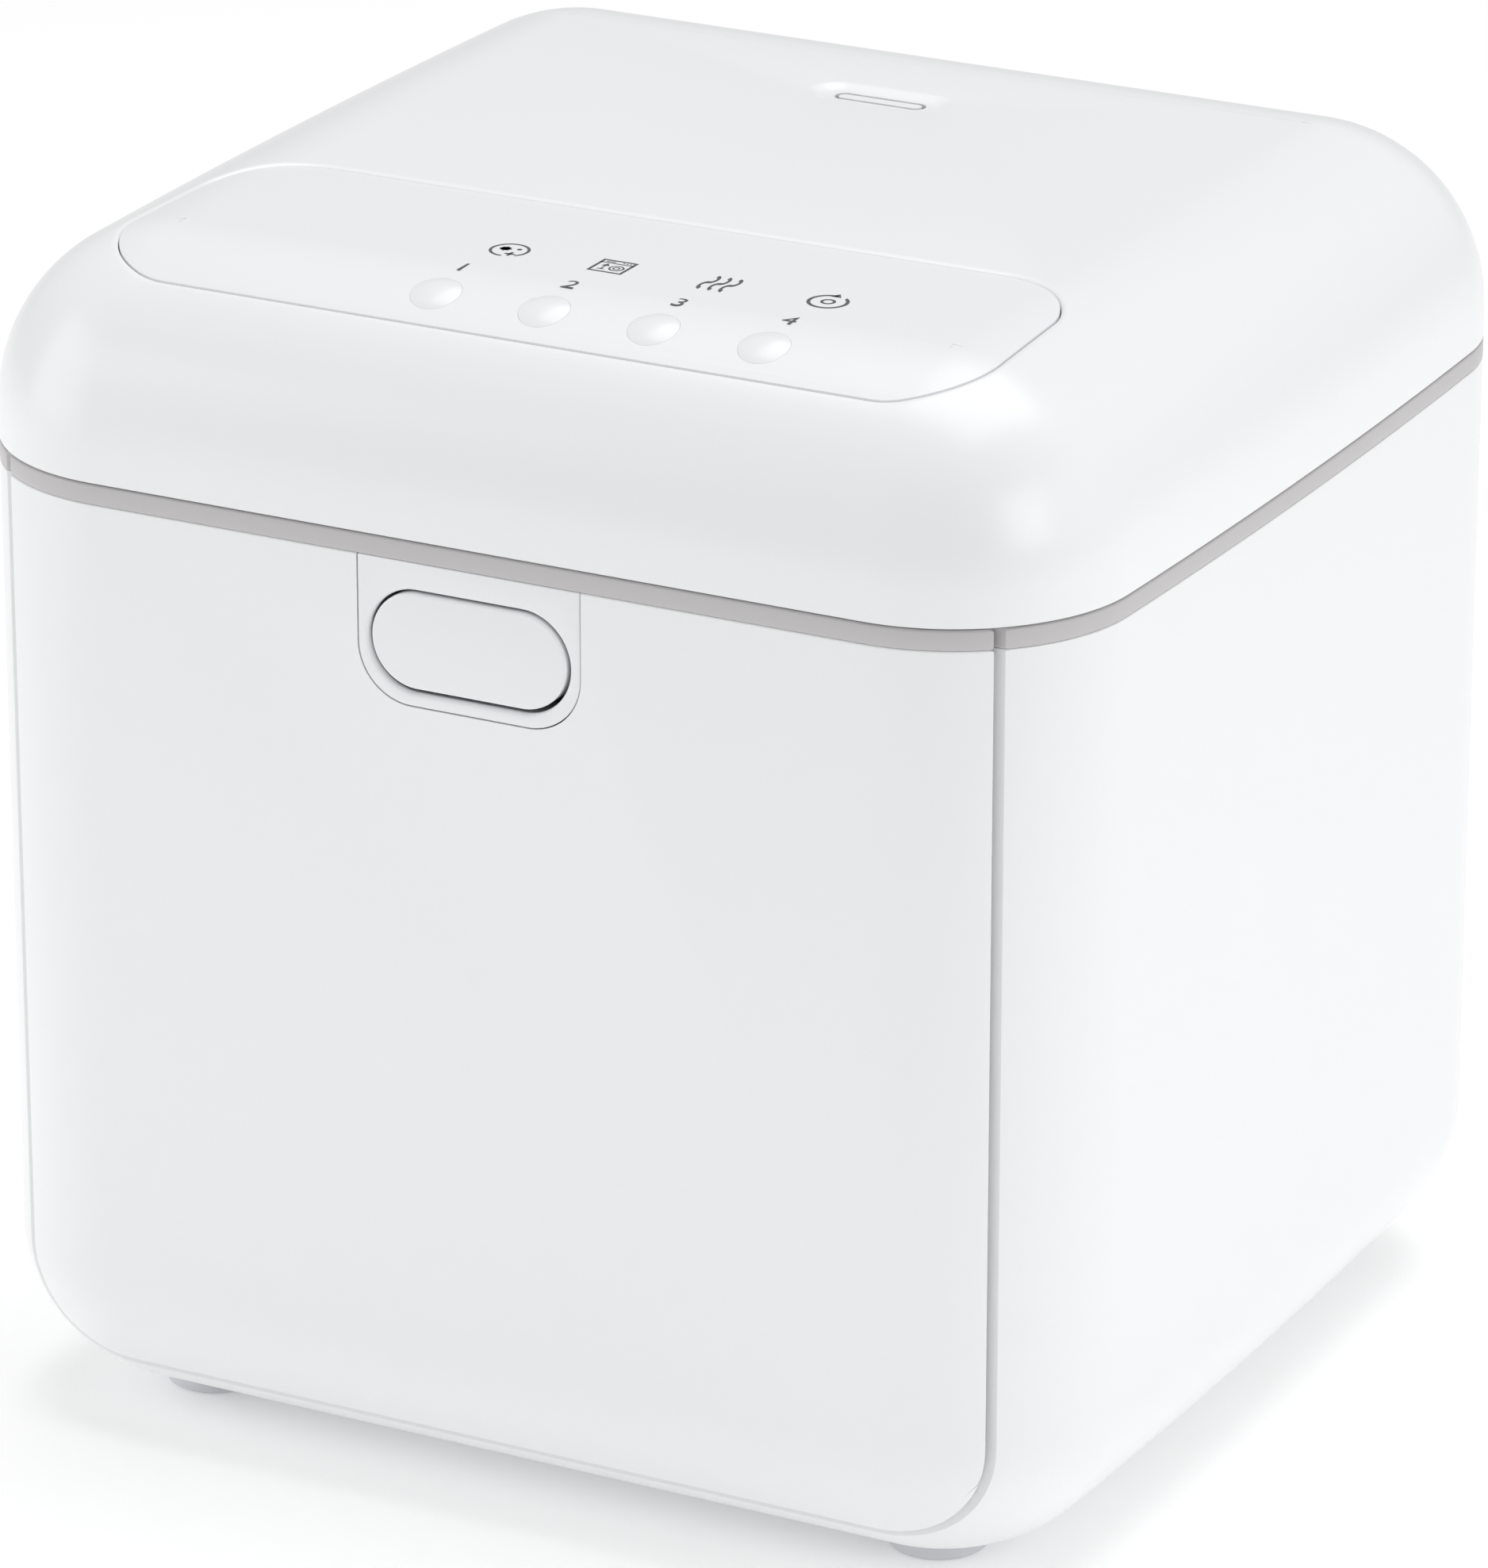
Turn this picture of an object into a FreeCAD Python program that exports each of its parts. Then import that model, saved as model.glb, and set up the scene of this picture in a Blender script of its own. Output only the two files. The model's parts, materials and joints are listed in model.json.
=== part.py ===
"""Countertop steriliser box for chopsticks and tableware: a white rounded cube with a flip-up lid.

Millimetres. +Z is up, the front with the release button faces -Y, and the origin is on the surface that
the feet stand on, under the middle of the whole box with its hinges.
"""
import FreeCAD, Part
import math
import os

V = FreeCAD.Vector
UP = V(0, 0, 1)

# ---- outer form -----------------------------------------------------------------------------------
width = 300.0
depth = 286.0
foot_height = 5.0
body_height = 245.0          # underside of the casing to the top of the trim ring
ring_height = 5.0
parting_gap = 0.5            # lid to trim ring
lid_height = 53.0
corner_radius = 46.0         # upright corners, in plan
side_bow_radius = 2600.0     # the sides bulge a little
base_radius = 40.0           # where the casing turns under

# ---- walls and fits -------------------------------------------------------------------------------
shell_wall = 2.6
panel_wall = 2.0
lid_wall = 3.0
fit = 0.3                    # between separate moulded pieces
pin_clearance = 0.05         # radial, hinge pin in its knuckle

# ---- front cover and release button ---------------------------------------------------------------
seam_setback = 9.0           # the cover's edge lies this far behind the front face
groove_width = 3.6
groove_depth = 2.3
flange_lap = 3.4             # how far the casing's flange reaches in under the cover
flange_root = 4.0            # and how far it runs back inside the casing
flange_wall = 2.2
bezel_width = 59.0
bezel_drop = 35.6            # below the trim ring
bezel_corner = 14.0
bezel_plate = 3.2
bezel_lip = 3.0              # hidden edge behind the front cover
sleeve_wall = 1.6
sleeve_depth = 13.0
bridge_width = 16.0
bridge_thickness = 2.0
button_length = 52.0
button_height = 24.0
button_gap = 0.7
button_centre_drop = 19.6    # below the trim ring
button_face = 2.4
button_proud = 0.2
button_wall = 1.6
button_skirt = 5.2
button_travel = 3.0
stem_width = 7.0
stem_collar = 1.4

# ---- latch ----------------------------------------------------------------------------------------
latch_setback = 17.5         # front face to the leaf
latch_half_width = 12.0
latch_thickness = 0.8
latch_foot_drop = 52.0       # below the deck
latch_nose = 4.0
latch_swing = 8.0            # room for the leaf behind itself
latch_arm = 3.0
latch_foot_height = 10.0
gusset_reach = 9.0
striker_thickness = 2.4
striker_height = 6.5

# ---- deck and tub ---------------------------------------------------------------------------------
frame_thickness = 5.0
deck_height = 4.0
ring_width = 6.0
ring_bevel = 0.8
tub_half_width = 123.0
tub_half_depth = 98.0
tub_corner = 34.0
tub_floor_bevel = 3.0
tub_height = 188.0
tub_wall = 0.8
tub_rim = 7.0
air_slot_length = 52.0
air_slot_height = 3.0
air_slot_pitch = 8.0
air_slot_count = 5
air_slot_drop = 74.0         # lowest slot, below the deck

# ---- hinge ----------------------------------------------------------------------------------------
hinge_radius = 6.0
hinge_pin_radius = 2.0
hinge_offset = 0.3           # back face to the knuckles
knuckle_width = 92.0
ear_width = 9.0
hinge_leaf = 3.0
hinge_plate_height = 21.0
arm_height = 12.0

# ---- control panel and mode buttons ---------------------------------------------------------------
panel_half_front = 112.0
panel_half_rear = 106.0
panel_setback = 22.0         # behind the front face
panel_length = 72.0
panel_corner = 21.0
panel_recess = 0.5
panel_thickness = 1.5
panel_gap = 0.5
panel_ledge = 1.6
mode_count = 4
mode_pitch = 28.8
mode_centre = 18.0           # the row sits to the right of the middle
mode_setback = 31.0          # behind the front face
mode_radius = 6.2
mode_gap = 0.35
mode_rise = 1.2              # stands above the panel
mode_flange = 1.2
mode_flange_reach = 0.6
mode_flange_drop = 2.5       # panel's top to the flange
mode_stem_width = 3.2
mode_stem = 7.0
mode_travel = 0.8
board_thickness = 1.6
board_margin = 16.0
board_width = 22.0
board_post = 5.0
switch_size = 6.0
switch_height = 3.4

# ---- lid vent -------------------------------------------------------------------------------------
vent_setback = 211.0         # behind the front face
vent_length = 37.0
vent_width = 11.0
vent_dish = 1.4
vent_slot_length = 25.0
vent_slot_width = 5.0
vent_bar_width = 1.8

# ---- lid liner, seal and lamps --------------------------------------------------------------------
liner_lift = 0.4             # above the lid's lower edge
liner_thickness = 2.2
plug_gap = 3.0               # liner's plug to the tub
plug_depth = 5.0             # below the liner's flange
seal_width = 5.0
lamp_radius = 4.0
lamp_length = 120.0
lamp_pitch = 44.0
lamp_rise = 9.0              # window to the lamps' centre line
window_half_length = 75.0
window_half_width = 42.0
window_corner = 6.0
window_ledge = 4.0
window_thickness = 1.8
reflector_wall = 0.8
reflector_height = 20.0
reflector_flare = 8.0
socket_wall = 2.4
socket_depth_lamp = 8.0
magnet_width = 8.0
magnet_height = 3.0
sensor_x = 60.0
sensor_width = 16.0
sensor_depth = 8.0
sensor_height = 7.0

# ---- base, feet and works -------------------------------------------------------------------------
base_half_width = 80.0       # opening in the casing's underside
base_half_depth = 88.0
base_corner = 16.0
base_plate = 2.2
base_lip = 6.0
foot_radius = 13.5
foot_outboard = 18.0         # foot's centre beyond the base opening, across
foot_endways = 2.0           # and lengthways
grille_slots = 7
grille_slot_length = 50.0
grille_slot_width = 3.0
grille_pitch = 7.0
blower_x = -20.0
blower_y = 20.0
blower_radius = 37.0
blower_height = 28.0
blower_wall = 1.6
blower_stand = 8.0           # base cover to the blower
blower_leg = 6.0
blower_inlet = 22.0
nozzle_width = 34.0
nozzle_reach = 54.0
wheel_radius = 28.0
wheel_height = 20.0
wheel_blades = 8
wheel_blade = 1.0
blade_depth = 8.0
blade_lean = 35.0
wheel_hub_radius = 11.0
wheel_plate = 1.5
motor_radius = 15.0
motor_height = 12.0
duct_width = 60.0
duct_depth = 24.0
duct_wall = 1.6
duct_low = 16.0
duct_high = 47.0
duct_top_drop = 25.0         # below the deck
heater_depth = 12.0
heater_fins = 9
heater_fin = 1.2
heater_frame = 1.6
pcb_half_width = 55.0
pcb_half_depth = 23.0
pcb_margin = 3.0             # board to the front end of the base opening
pcb_z = 18.0
pcb_stand = 6.0
pcb_stand_inset = 6.0
transformer_side = 26.0
transformer_height = 22.0
transformer_x = -21.0
choke_side = 14.0
choke_x = 15.0
choke_y = -9.0
relay_length = 18.0
relay_width = 16.0
relay_height = 15.0
relay_x = 39.0
relay_y = 4.0
inlet_x = -70.0
inlet_z = 64.0
inlet_half_width = 15.0
inlet_half_height = 10.0
inlet_depth = 18.0
inlet_flange = 2.0
inlet_lip = 3.0
socket_length = 19.0
socket_height = 8.6
socket_depth = 13.0
contact_radius = 1.2
contact_pitch = 8.6
contact_length = 10.0

# ---- basket and chopstick tray --------------------------------------------------------------------
basket_gap = 3.2             # basket to tub wall
basket_height = 120.0
basket_wall = 1.6
basket_rim = 2.4
basket_rim_height = 5.0
basket_slot = 6.0
long_side_slots = 6
short_side_slots = 4
slot_pitch = 27.0
slot_low = 30.0
slot_high = 104.0
floor_slots = 5
floor_slot_pitch = 36.0
floor_slot_half = 62.0
tray_half_length = 98.0
tray_width = 62.0
tray_height = 48.0
tray_wall = 1.4
tray_corner = 10.0
tray_clear = 6.0
tray_slots = 5
tray_slot_pitch = 34.0

# ---- levels and places that follow ----------------------------------------------------------------
half_w = width / 2
z_shell = foot_height
z_ring_top = z_shell + body_height
z_ring = z_ring_top - ring_height
z_frame = z_ring - frame_thickness
z_lid = z_ring_top + parting_gap
z_top = z_lid + lid_height
z_deck = z_ring + deck_height
hinge_reach = hinge_offset + 2 * hinge_radius
front_y = -(depth + hinge_reach - button_proud) / 2
back_y = front_y + depth
mid_y = (front_y + back_y) / 2
seam_y = front_y + seam_setback
groove_y = seam_y + groove_width
latch_y = front_y + latch_setback
axis_y = back_y + hinge_offset + hinge_radius
axis_z = z_ring_top
tub_front = mid_y - tub_half_depth
tub_rear = mid_y + tub_half_depth
tub_floor_z = z_deck - tub_height
button_z = z_ring - button_centre_drop
z_liner = z_lid + liner_lift
z_plug = z_liner - plug_depth
shoulder_y = front_y + corner_radius
shoulder_z = z_top - corner_radius
foot_x = base_half_width + foot_outboard
foot_y = base_half_depth + foot_endways
pcb_y = pcb_half_depth + pcb_margin - base_half_depth
side_sag = side_bow_radius - math.sqrt(side_bow_radius ** 2 - (depth / 2 - corner_radius) ** 2)
lamp_z = z_plug + liner_thickness + window_thickness + lamp_rise
edge_slack = 0.01            # tolerance when an edge is picked by its place


# ---- small helpers --------------------------------------------------------------------------------
def block(x0, x1, y0, y1, z0, z1):
    return Part.makeBox(x1 - x0, y1 - y0, z1 - z0, V(x0, y0, z0))


def rod(radius, start, end):
    way = end - start
    return Part.makeCylinder(radius, way.Length, start, way)


def prism(wire, height):
    return Part.Face(wire).extrude(V(0, 0, height))


def fused(shapes):
    whole = shapes[0].multiFuse(shapes[1:]) if len(shapes) > 1 else shapes[0]
    return whole.removeSplitter()


def rounded_rectangle(x_half, y_front, y_rear, radius, z):
    """A closed wire of four lines and four arcs, level with the floor."""
    x_in = x_half - radius
    y_low = y_front + radius
    y_high = y_rear - radius
    slant = radius * math.sqrt(0.5)
    edges = []
    corners = [(x_in, y_low, 1, -1), (x_in, y_high, 1, 1), (-x_in, y_high, -1, 1), (-x_in, y_low, -1, -1)]
    ends = []
    for x, y, sx, sy in corners:
        across = V(x + sx * radius, y, z)
        along = V(x, y + sy * radius, z)
        middle = V(x + sx * slant, y + sy * slant, z)
        first, last = (along, across) if sx * sy < 0 else (across, along)
        edges.append(Part.Arc(first, middle, last).toShape())
        ends.append((first, last))
    for k in range(4):
        edges.append(Part.makeLine(ends[k][1], ends[(k + 1) % 4][0]))
    return Part.Wire(Part.__sortEdges__(edges))


def stadium(x_centre, z_centre, length, height, y):
    """A closed wire with round ends, upright in a plane parallel to the front."""
    r = height / 2
    straight = length / 2 - r
    top = z_centre + r
    low = z_centre - r
    left = x_centre - straight
    right = x_centre + straight
    return Part.Wire([
        Part.makeLine(V(left, y, low), V(right, y, low)),
        Part.Arc(V(right, y, low), V(right + r, y, z_centre), V(right, y, top)).toShape(),
        Part.makeLine(V(right, y, top), V(left, y, top)),
        Part.Arc(V(left, y, top), V(left - r, y, z_centre), V(left, y, low)).toShape(),
    ])


def flat_stadium(x_centre, y_centre, length, breadth, z):
    """The same outline lying level."""
    wire = stadium(x_centre, 0, length, breadth, 0)
    wire.rotate(V(x_centre, 0, 0), V(1, 0, 0), -90)
    wire.translate(V(0, y_centre, z))
    return wire


# ---- the soft outer form --------------------------------------------------------------------------
def sharp_block(inset, z_low, z_high):
    """The box's plan with straight ends, slightly bowed sides and no rounding yet, drawn in all round."""
    half = half_w - inset
    near = front_y + inset
    far = back_y - inset
    end_half = half - side_bow_radius + math.sqrt(side_bow_radius ** 2 - ((far - near) / 2) ** 2)
    corners = [V(sx * end_half, y, z_low) for sx, y in ((1, near), (1, far), (-1, far), (-1, near))]
    outline = Part.Wire([
        Part.Arc(corners[0], V(half, mid_y, z_low), corners[1]).toShape(),
        Part.makeLine(corners[1], corners[2]),
        Part.Arc(corners[2], V(-half, mid_y, z_low), corners[3]).toShape(),
        Part.makeLine(corners[3], corners[0]),
    ])
    return prism(outline, z_high - z_low)


def upright_edges(shape, height):
    return [e for e in shape.Edges if e.BoundBox.ZLength > height - edge_slack]


def level_edges(shape, z):
    return [e for e in shape.Edges if max(abs(e.BoundBox.ZMin - z), abs(e.BoundBox.ZMax - z)) < edge_slack]


def form_block(inset, z_low, z_high):
    """An upright block of the box's plan with its four round corners, drawn in all round."""
    upright = sharp_block(inset, z_low, z_high)
    return upright.makeFillet(corner_radius - inset, upright_edges(upright, z_high - z_low)).Solids[0]


def body_form(inset, z_high):
    """The casing's form, drawn in by a wall: round underneath, upright above."""
    z_low = z_shell + inset
    upright = form_block(inset, z_low, z_high)
    return upright.makeFillet(base_radius - inset, level_edges(upright, z_low)).Solids[0]


def lid_form(inset, run_down):
    """The lid's form, drawn in by a wall and run down below the parting line. Its shoulder and its
    upright corners are equally round, so each corner is part of a ball."""
    z_low = z_lid - run_down
    z_high = z_top - inset
    upright = sharp_block(inset, z_low, z_high)
    edges = upright_edges(upright, z_high - z_low) + level_edges(upright, z_high)
    return upright.makeFillet(corner_radius - inset, edges).Solids[0]


def facet_wire(inset, z):
    """The same plan with straight sides and with flats in place of its round corners."""
    radius = max(corner_radius - inset, 1.0)
    across = half_w - side_sag - inset - radius
    along = depth / 2 - inset - radius
    turns = [math.radians(a) for a in (0, 30, 60, 90)]
    right = [V(across + radius * math.sin(a), along + radius * math.cos(a), z) for a in turns]
    loop = right + [V(p.x, -p.y, z) for p in right[::-1]]
    loop += [V(-p.x, p.y, z) for p in loop[::-1]]
    loop = [p + V(0, mid_y, 0) for p in loop]
    return Part.makePolygon(loop + [loop[0]])


def moulding_core(wall, bend, z_bend, z_end, z_open):
    """The hollow inside a moulding, with flats that follow its round corners and its round end."""
    radius = bend - wall
    steps = [math.radians(a) for a in (90, 60, 30, 0)]
    toward = 1 if z_end > z_bend else -1
    wires = [facet_wire(wall + radius * (1 - math.cos(a)), z_bend + toward * radius * math.sin(a))
             for a in steps]
    wires.append(facet_wire(wall, z_open))
    rings = [[v.Point for v in wire.OrderedVertexes] for wire in wires]
    faces = [Part.Face(wires[0]), Part.Face(wires[-1])]
    for low, high in zip(rings, rings[1:]):
        for k in range(len(low)):
            a, b, c, d = low[k - 1], low[k], high[k], high[k - 1]
            faces.append(Part.Face(Part.makePolygon([a, b, c, d, a])))
    core = Part.Solid(Part.Shell(faces))
    if core.Volume < 0:
        core.reverse()
    return core


def body_core(wall, z_open):
    return moulding_core(wall, base_radius, z_shell + base_radius, z_shell + wall, z_open)


def lid_core(wall, z_open):
    return moulding_core(wall, corner_radius, shoulder_z, z_top - wall, z_open)


def tub_block(grow, z_low, z_high):
    """An upright block of the tub's plan outline, grown or drawn in all round."""
    wire = rounded_rectangle(tub_half_width + grow, tub_front - grow, tub_rear + grow,
                             tub_corner + grow, z_low)
    return prism(wire, z_high - z_low)


def centred_block(half_x, half_y, radius, z_low, z_high):
    """An upright block with round corners, on the casing's middle."""
    return prism(rounded_rectangle(half_x, mid_y - half_y, mid_y + half_y, radius, z_low), z_high - z_low)


def bent_strip(path, thickness, x_low, x_high):
    """A strip of sheet along a path of (y, z) points, with the sheet's thickness to the path's left."""
    ways = [V(0, b[0] - a[0], b[1] - a[1]).normalize() for a, b in zip(path, path[1:])]
    sides = [V(0, -w.z, w.y) for w in ways]
    mitres = [sides[0]]
    for a, b in zip(sides, sides[1:]):
        mitres.append((a + b) * (1 / (1 + a.dot(b))))
    mitres.append(sides[-1])
    near = [V(x_low, y, z) for y, z in path]
    far = [p + m * thickness for p, m in zip(near, mitres)]
    outline = near + far[::-1]
    return Part.Face(Part.makePolygon(outline + [outline[0]])).extrude(V(x_high - x_low, 0, 0))


# ---- casing ---------------------------------------------------------------------------------------
def body_shell():
    behind = block(-width, width, groove_y, back_y + depth, 0, z_top)
    shell = body_form(0, z_ring).common(behind)
    lap = block(-width, width, seam_y - flange_lap, groove_y + flange_root, 0, z_top)
    flange = body_form(groove_depth, z_frame).common(lap)
    flange = flange.cut(body_core(groove_depth + flange_wall, z_ring + 1))
    hollow = body_core(shell_wall, z_ring + 1)
    shell = fused([shell.cut(hollow), flange])
    base_hole = centred_block(base_half_width, base_half_depth, base_corner, 0, z_shell + shell_wall + 1)
    shell = shell.cut(base_hole)
    inlet_hole = block(inlet_x - inlet_half_width, inlet_x + inlet_half_width, back_y - 9, back_y + 9,
                       inlet_z - inlet_half_height, inlet_z + inlet_half_height)
    return shell.cut(inlet_hole)


def bezel_outline(grow, y):
    """The U-shaped plate round the release button: square at the trim ring, round below."""
    half = bezel_width / 2 + grow
    low = z_ring - bezel_drop - grow
    r = bezel_corner + grow
    plate = block(-half, half, y, y + 1, low, z_ring)
    corners = [e for e in plate.Edges if e.BoundBox.YLength > 0.5 and e.BoundBox.ZMax < low + edge_slack]
    rounded = plate.makeFillet(r, corners)
    face = min(rounded.Faces, key=lambda f: f.CenterOfMass.y)
    return face.OuterWire


def bezel_block(grow, y_low, y_high):
    return Part.Face(bezel_outline(grow, y_low)).extrude(V(0, y_high - y_low, 0))


def stadium_block(grow, y_low, y_high):
    """A block of the release button's outline, lying along Y."""
    wire = stadium(0, button_z, button_length + 2 * grow, button_height + 2 * grow, y_low)
    return Part.Face(wire).extrude(V(0, y_high - y_low, 0))


def stem_block(grow, y_low, y_high):
    """A block of the release button's square stem, lying along Y."""
    half = stem_width / 2 + grow
    return block(-half, half, y_low, y_high, button_z - half, button_z + half)


def front_panel():
    before = block(-width, width, front_y - 5, seam_y, 0, z_top)
    cap = body_form(0, z_ring).cut(body_form(panel_wall, z_ring + 1)).common(before)
    return cap.cut(bezel_block(fit, front_y - 5, front_y + 5))


def trim_ring():
    ring = form_block(0, z_ring, z_ring_top)
    ring = ring.makeChamfer(ring_bevel, level_edges(ring, z_ring_top))
    ring = ring.cut(form_block(ring_width, z_ring - 1, z_ring_top + 1))
    nick = block(-width, width, seam_y, groove_y, z_ring - 1, z_ring_top + 1)
    nick = nick.cut(form_block(groove_depth, z_ring - 2, z_ring_top + 2))
    return ring.cut(nick)


def release_bezel():
    plate = bezel_block(0, front_y, front_y + bezel_plate)
    lip = bezel_block(bezel_lip, front_y + panel_wall + fit, front_y + bezel_plate)
    sleeve = stadium_block(button_gap + sleeve_wall, front_y, front_y + sleeve_depth)
    body = fused([plate, lip.common(block(-width, width, front_y, back_y, 0, z_ring)), sleeve])
    body = body.cut(stadium_block(button_gap, front_y - 1, front_y + sleeve_depth + 1))
    half_height = button_height / 2 + button_gap + sleeve_wall / 2
    bridge = block(-bridge_width / 2, bridge_width / 2, front_y + sleeve_depth - bridge_thickness,
                   front_y + sleeve_depth, button_z - half_height, button_z + half_height)
    guide = stem_block(fit, front_y, front_y + sleeve_depth + 1)
    return fused([body, bridge]).cut(guide)


def release_button():
    face_y = front_y - button_proud
    cap = stadium_block(0, face_y, face_y + button_face + button_skirt)
    cap = cap.cut(stadium_block(-button_wall, face_y + button_face, back_y))
    stem = stem_block(0, face_y + button_face / 2, latch_y - fit / 2)
    collar_y = front_y + sleeve_depth + fit / 2
    collar = stem_block(stem_collar, collar_y, collar_y + stem_collar)
    return fused([cap, stem, collar])


def latch_spring():
    """A leaf that bends back when the release button pushes it, and hooks over the lid's striker."""
    foot_z = z_deck - latch_foot_drop
    nose_z = z_liner + striker_thickness + fit / 2
    tip = latch_y - latch_nose
    path = [(latch_y + latch_thickness, foot_z), (latch_y + latch_thickness, nose_z + latch_thickness),
            (tip, nose_z + latch_thickness), (tip - 1.5, nose_z + latch_thickness + 2.2)]
    return bent_strip(path, latch_thickness, -latch_half_width, latch_half_width)


def top_frame():
    plate = prism(facet_wire(shell_wall, z_frame), frame_thickness)
    deck = form_block(ring_width + fit, z_ring, z_deck)
    arm_y = latch_y + latch_thickness + latch_swing
    arm_half = latch_half_width + 2
    foot_z = z_deck - latch_foot_drop
    arm = block(-arm_half, arm_half, arm_y, arm_y + latch_arm, foot_z, z_frame + 1)
    foot = block(-arm_half, arm_half, latch_y + latch_thickness, arm_y + latch_arm,
                 foot_z, foot_z + latch_foot_height)
    gusset = block(-arm_half, -arm_half + latch_arm, arm_y, arm_y + gusset_reach, foot_z, z_frame + 1)
    mirror = gusset.mirror(V(0, 0, 0), V(1, 0, 0))
    frame = fused([plate, deck, arm, foot, gusset, mirror])
    frame = frame.cut(tub_block(fit, z_frame - 1, z_deck + 1))
    frame = frame.cut(tub_block(tub_rim + fit, z_deck - tub_wall, z_deck + 1))
    slot = block(-latch_half_width - 2, latch_half_width + 2, latch_y - 1, arm_y, z_frame - 1, z_deck + 1)
    notch = bezel_block(bezel_lip + fit, front_y, front_y + bezel_plate + fit)
    return frame.cut(slot).cut(notch)


def inner_tub():
    def drawn(inset, z_high):
        z_low = tub_floor_z + inset
        solid = tub_block(-inset, z_low, z_high)
        return solid.makeChamfer(tub_floor_bevel - inset / 2, level_edges(solid, z_low)).Solids[0]

    rim = tub_block(tub_rim, z_deck - tub_wall, z_deck)
    tub = fused([drawn(0, z_deck), rim]).cut(drawn(tub_wall, z_deck + 1))
    for k in range(air_slot_count):
        z = z_deck - air_slot_drop + k * air_slot_pitch
        tub = tub.cut(block(-air_slot_length / 2, air_slot_length / 2, tub_rear - 5, tub_rear + 5,
                            z - air_slot_height / 2, z + air_slot_height / 2))
    return tub


# ---- base, feet and works -------------------------------------------------------------------------
def base_cover():
    half_x = base_half_width + base_lip
    half_y = base_half_depth + base_lip
    plate = centred_block(half_x, half_y, base_corner + base_lip, z_shell - base_plate, z_shell)
    spigot = centred_block(base_half_width - fit, base_half_depth - fit, base_corner - fit,
                           z_shell - 1, z_shell + shell_wall)
    cover = fused([plate, spigot])
    for k in range(grille_slots):
        y = mid_y + blower_y + (k - (grille_slots - 1) / 2) * grille_pitch
        half_x = grille_slot_length / 2
        half_y = grille_slot_width / 2
        cover = cover.cut(block(blower_x - half_x, blower_x + half_x, y - half_y, y + half_y, 0, z_frame))
    return cover


def feet():
    """Four round rubber feet."""
    group = []
    for sx in (-1, 1):
        for sy in (-1, 1):
            x = sx * foot_x
            y = mid_y + sy * foot_y
            group.append(rod(foot_radius, V(x, y, 0), V(x, y, foot_height)))
    return Part.makeCompound(group)


def blower_housing():
    """A snail housing: a round chamber with a nozzle to the rear, an inlet below and the motor above."""
    y = mid_y + blower_y
    z = z_shell + shell_wall + blower_stand

    def chamber(wall):
        drum = rod(blower_radius - wall, V(blower_x, y, z + wall), V(blower_x, y, z + blower_height - wall))
        side = blower_x + blower_radius - wall
        end = y + nozzle_reach + (1 if wall else 0)
        nozzle = block(side - nozzle_width + 2 * wall, side, y, end, z + wall, z + blower_height - wall)
        return drum.fuse(nozzle)

    housing = chamber(0).removeSplitter().cut(chamber(blower_wall))
    for sx in (-1, 1):
        for sy in (-1, 1):
            leg_x = blower_x + sx * blower_radius * 0.64
            leg_y = y + sy * blower_radius * 0.64
            half = blower_leg / 2
            leg = block(leg_x - half, leg_x + half, leg_y - half, leg_y + half, z - blower_stand, z + 0.5)
            housing = housing.fuse(leg)
    inlet = rod(blower_inlet, V(blower_x, y, z - 1), V(blower_x, y, z + blower_wall + 1))
    return housing.cut(inlet)


def blower_motor():
    y = mid_y + blower_y
    z = z_shell + shell_wall + blower_stand + blower_height
    return rod(motor_radius, V(blower_x, y, z), V(blower_x, y, z + motor_height))


def blower_impeller():
    y = mid_y + blower_y
    z = z_shell + shell_wall + blower_stand + (blower_height - wheel_height) / 2
    plate_z = z + wheel_height - wheel_plate
    roof = z_shell + shell_wall + blower_stand + blower_height - blower_wall
    pieces = [
        rod(wheel_radius, V(blower_x, y, plate_z), V(blower_x, y, z + wheel_height)),
        rod(wheel_hub_radius, V(blower_x, y, z + wheel_height / 2), V(blower_x, y, roof - fit / 2)),
    ]
    for k in range(wheel_blades):
        blade = block(0, blade_depth, -wheel_blade / 2, wheel_blade / 2, 0, wheel_height - wheel_plate / 2)
        blade.rotate(V(blade_depth / 2, 0, 0), UP, blade_lean)
        blade.translate(V(wheel_radius - blade_depth, 0, 0))
        blade.rotate(V(0, 0, 0), UP, k * 360 / wheel_blades)
        blade.translate(V(blower_x, y, z))
        pieces.append(blade)
    return fused(pieces)


def air_duct():
    """Takes the warm air back from the heater and up behind the tub to the slots in its rear wall."""
    face_y = tub_rear
    low_y = mid_y + blower_y + nozzle_reach
    top_z = z_deck - duct_top_drop

    def passage(wall):
        half = duct_width / 2 - wall
        far_y = face_y + duct_depth - wall
        level = block(-half, half, low_y + wall, far_y, duct_low + wall, duct_high - wall)
        riser = block(-half, half, face_y + wall, far_y, duct_low + wall, top_z - wall)
        return level.fuse(riser)

    duct = passage(0).removeSplitter().cut(passage(duct_wall))
    slots_low = z_deck - air_slot_drop - air_slot_height
    window = block(-air_slot_length / 2 - 1, air_slot_length / 2 + 1, face_y - 1, face_y + duct_wall + 1,
                   slots_low, top_z - duct_wall)
    nozzle_z = z_shell + shell_wall + blower_stand
    side = blower_x + blower_radius
    mouth = block(side - nozzle_width + blower_wall, side - blower_wall, low_y - 1, low_y + duct_wall + 1,
                  duct_low + duct_wall, nozzle_z + blower_height - blower_wall)
    return duct.cut(window).cut(mouth)


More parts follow.
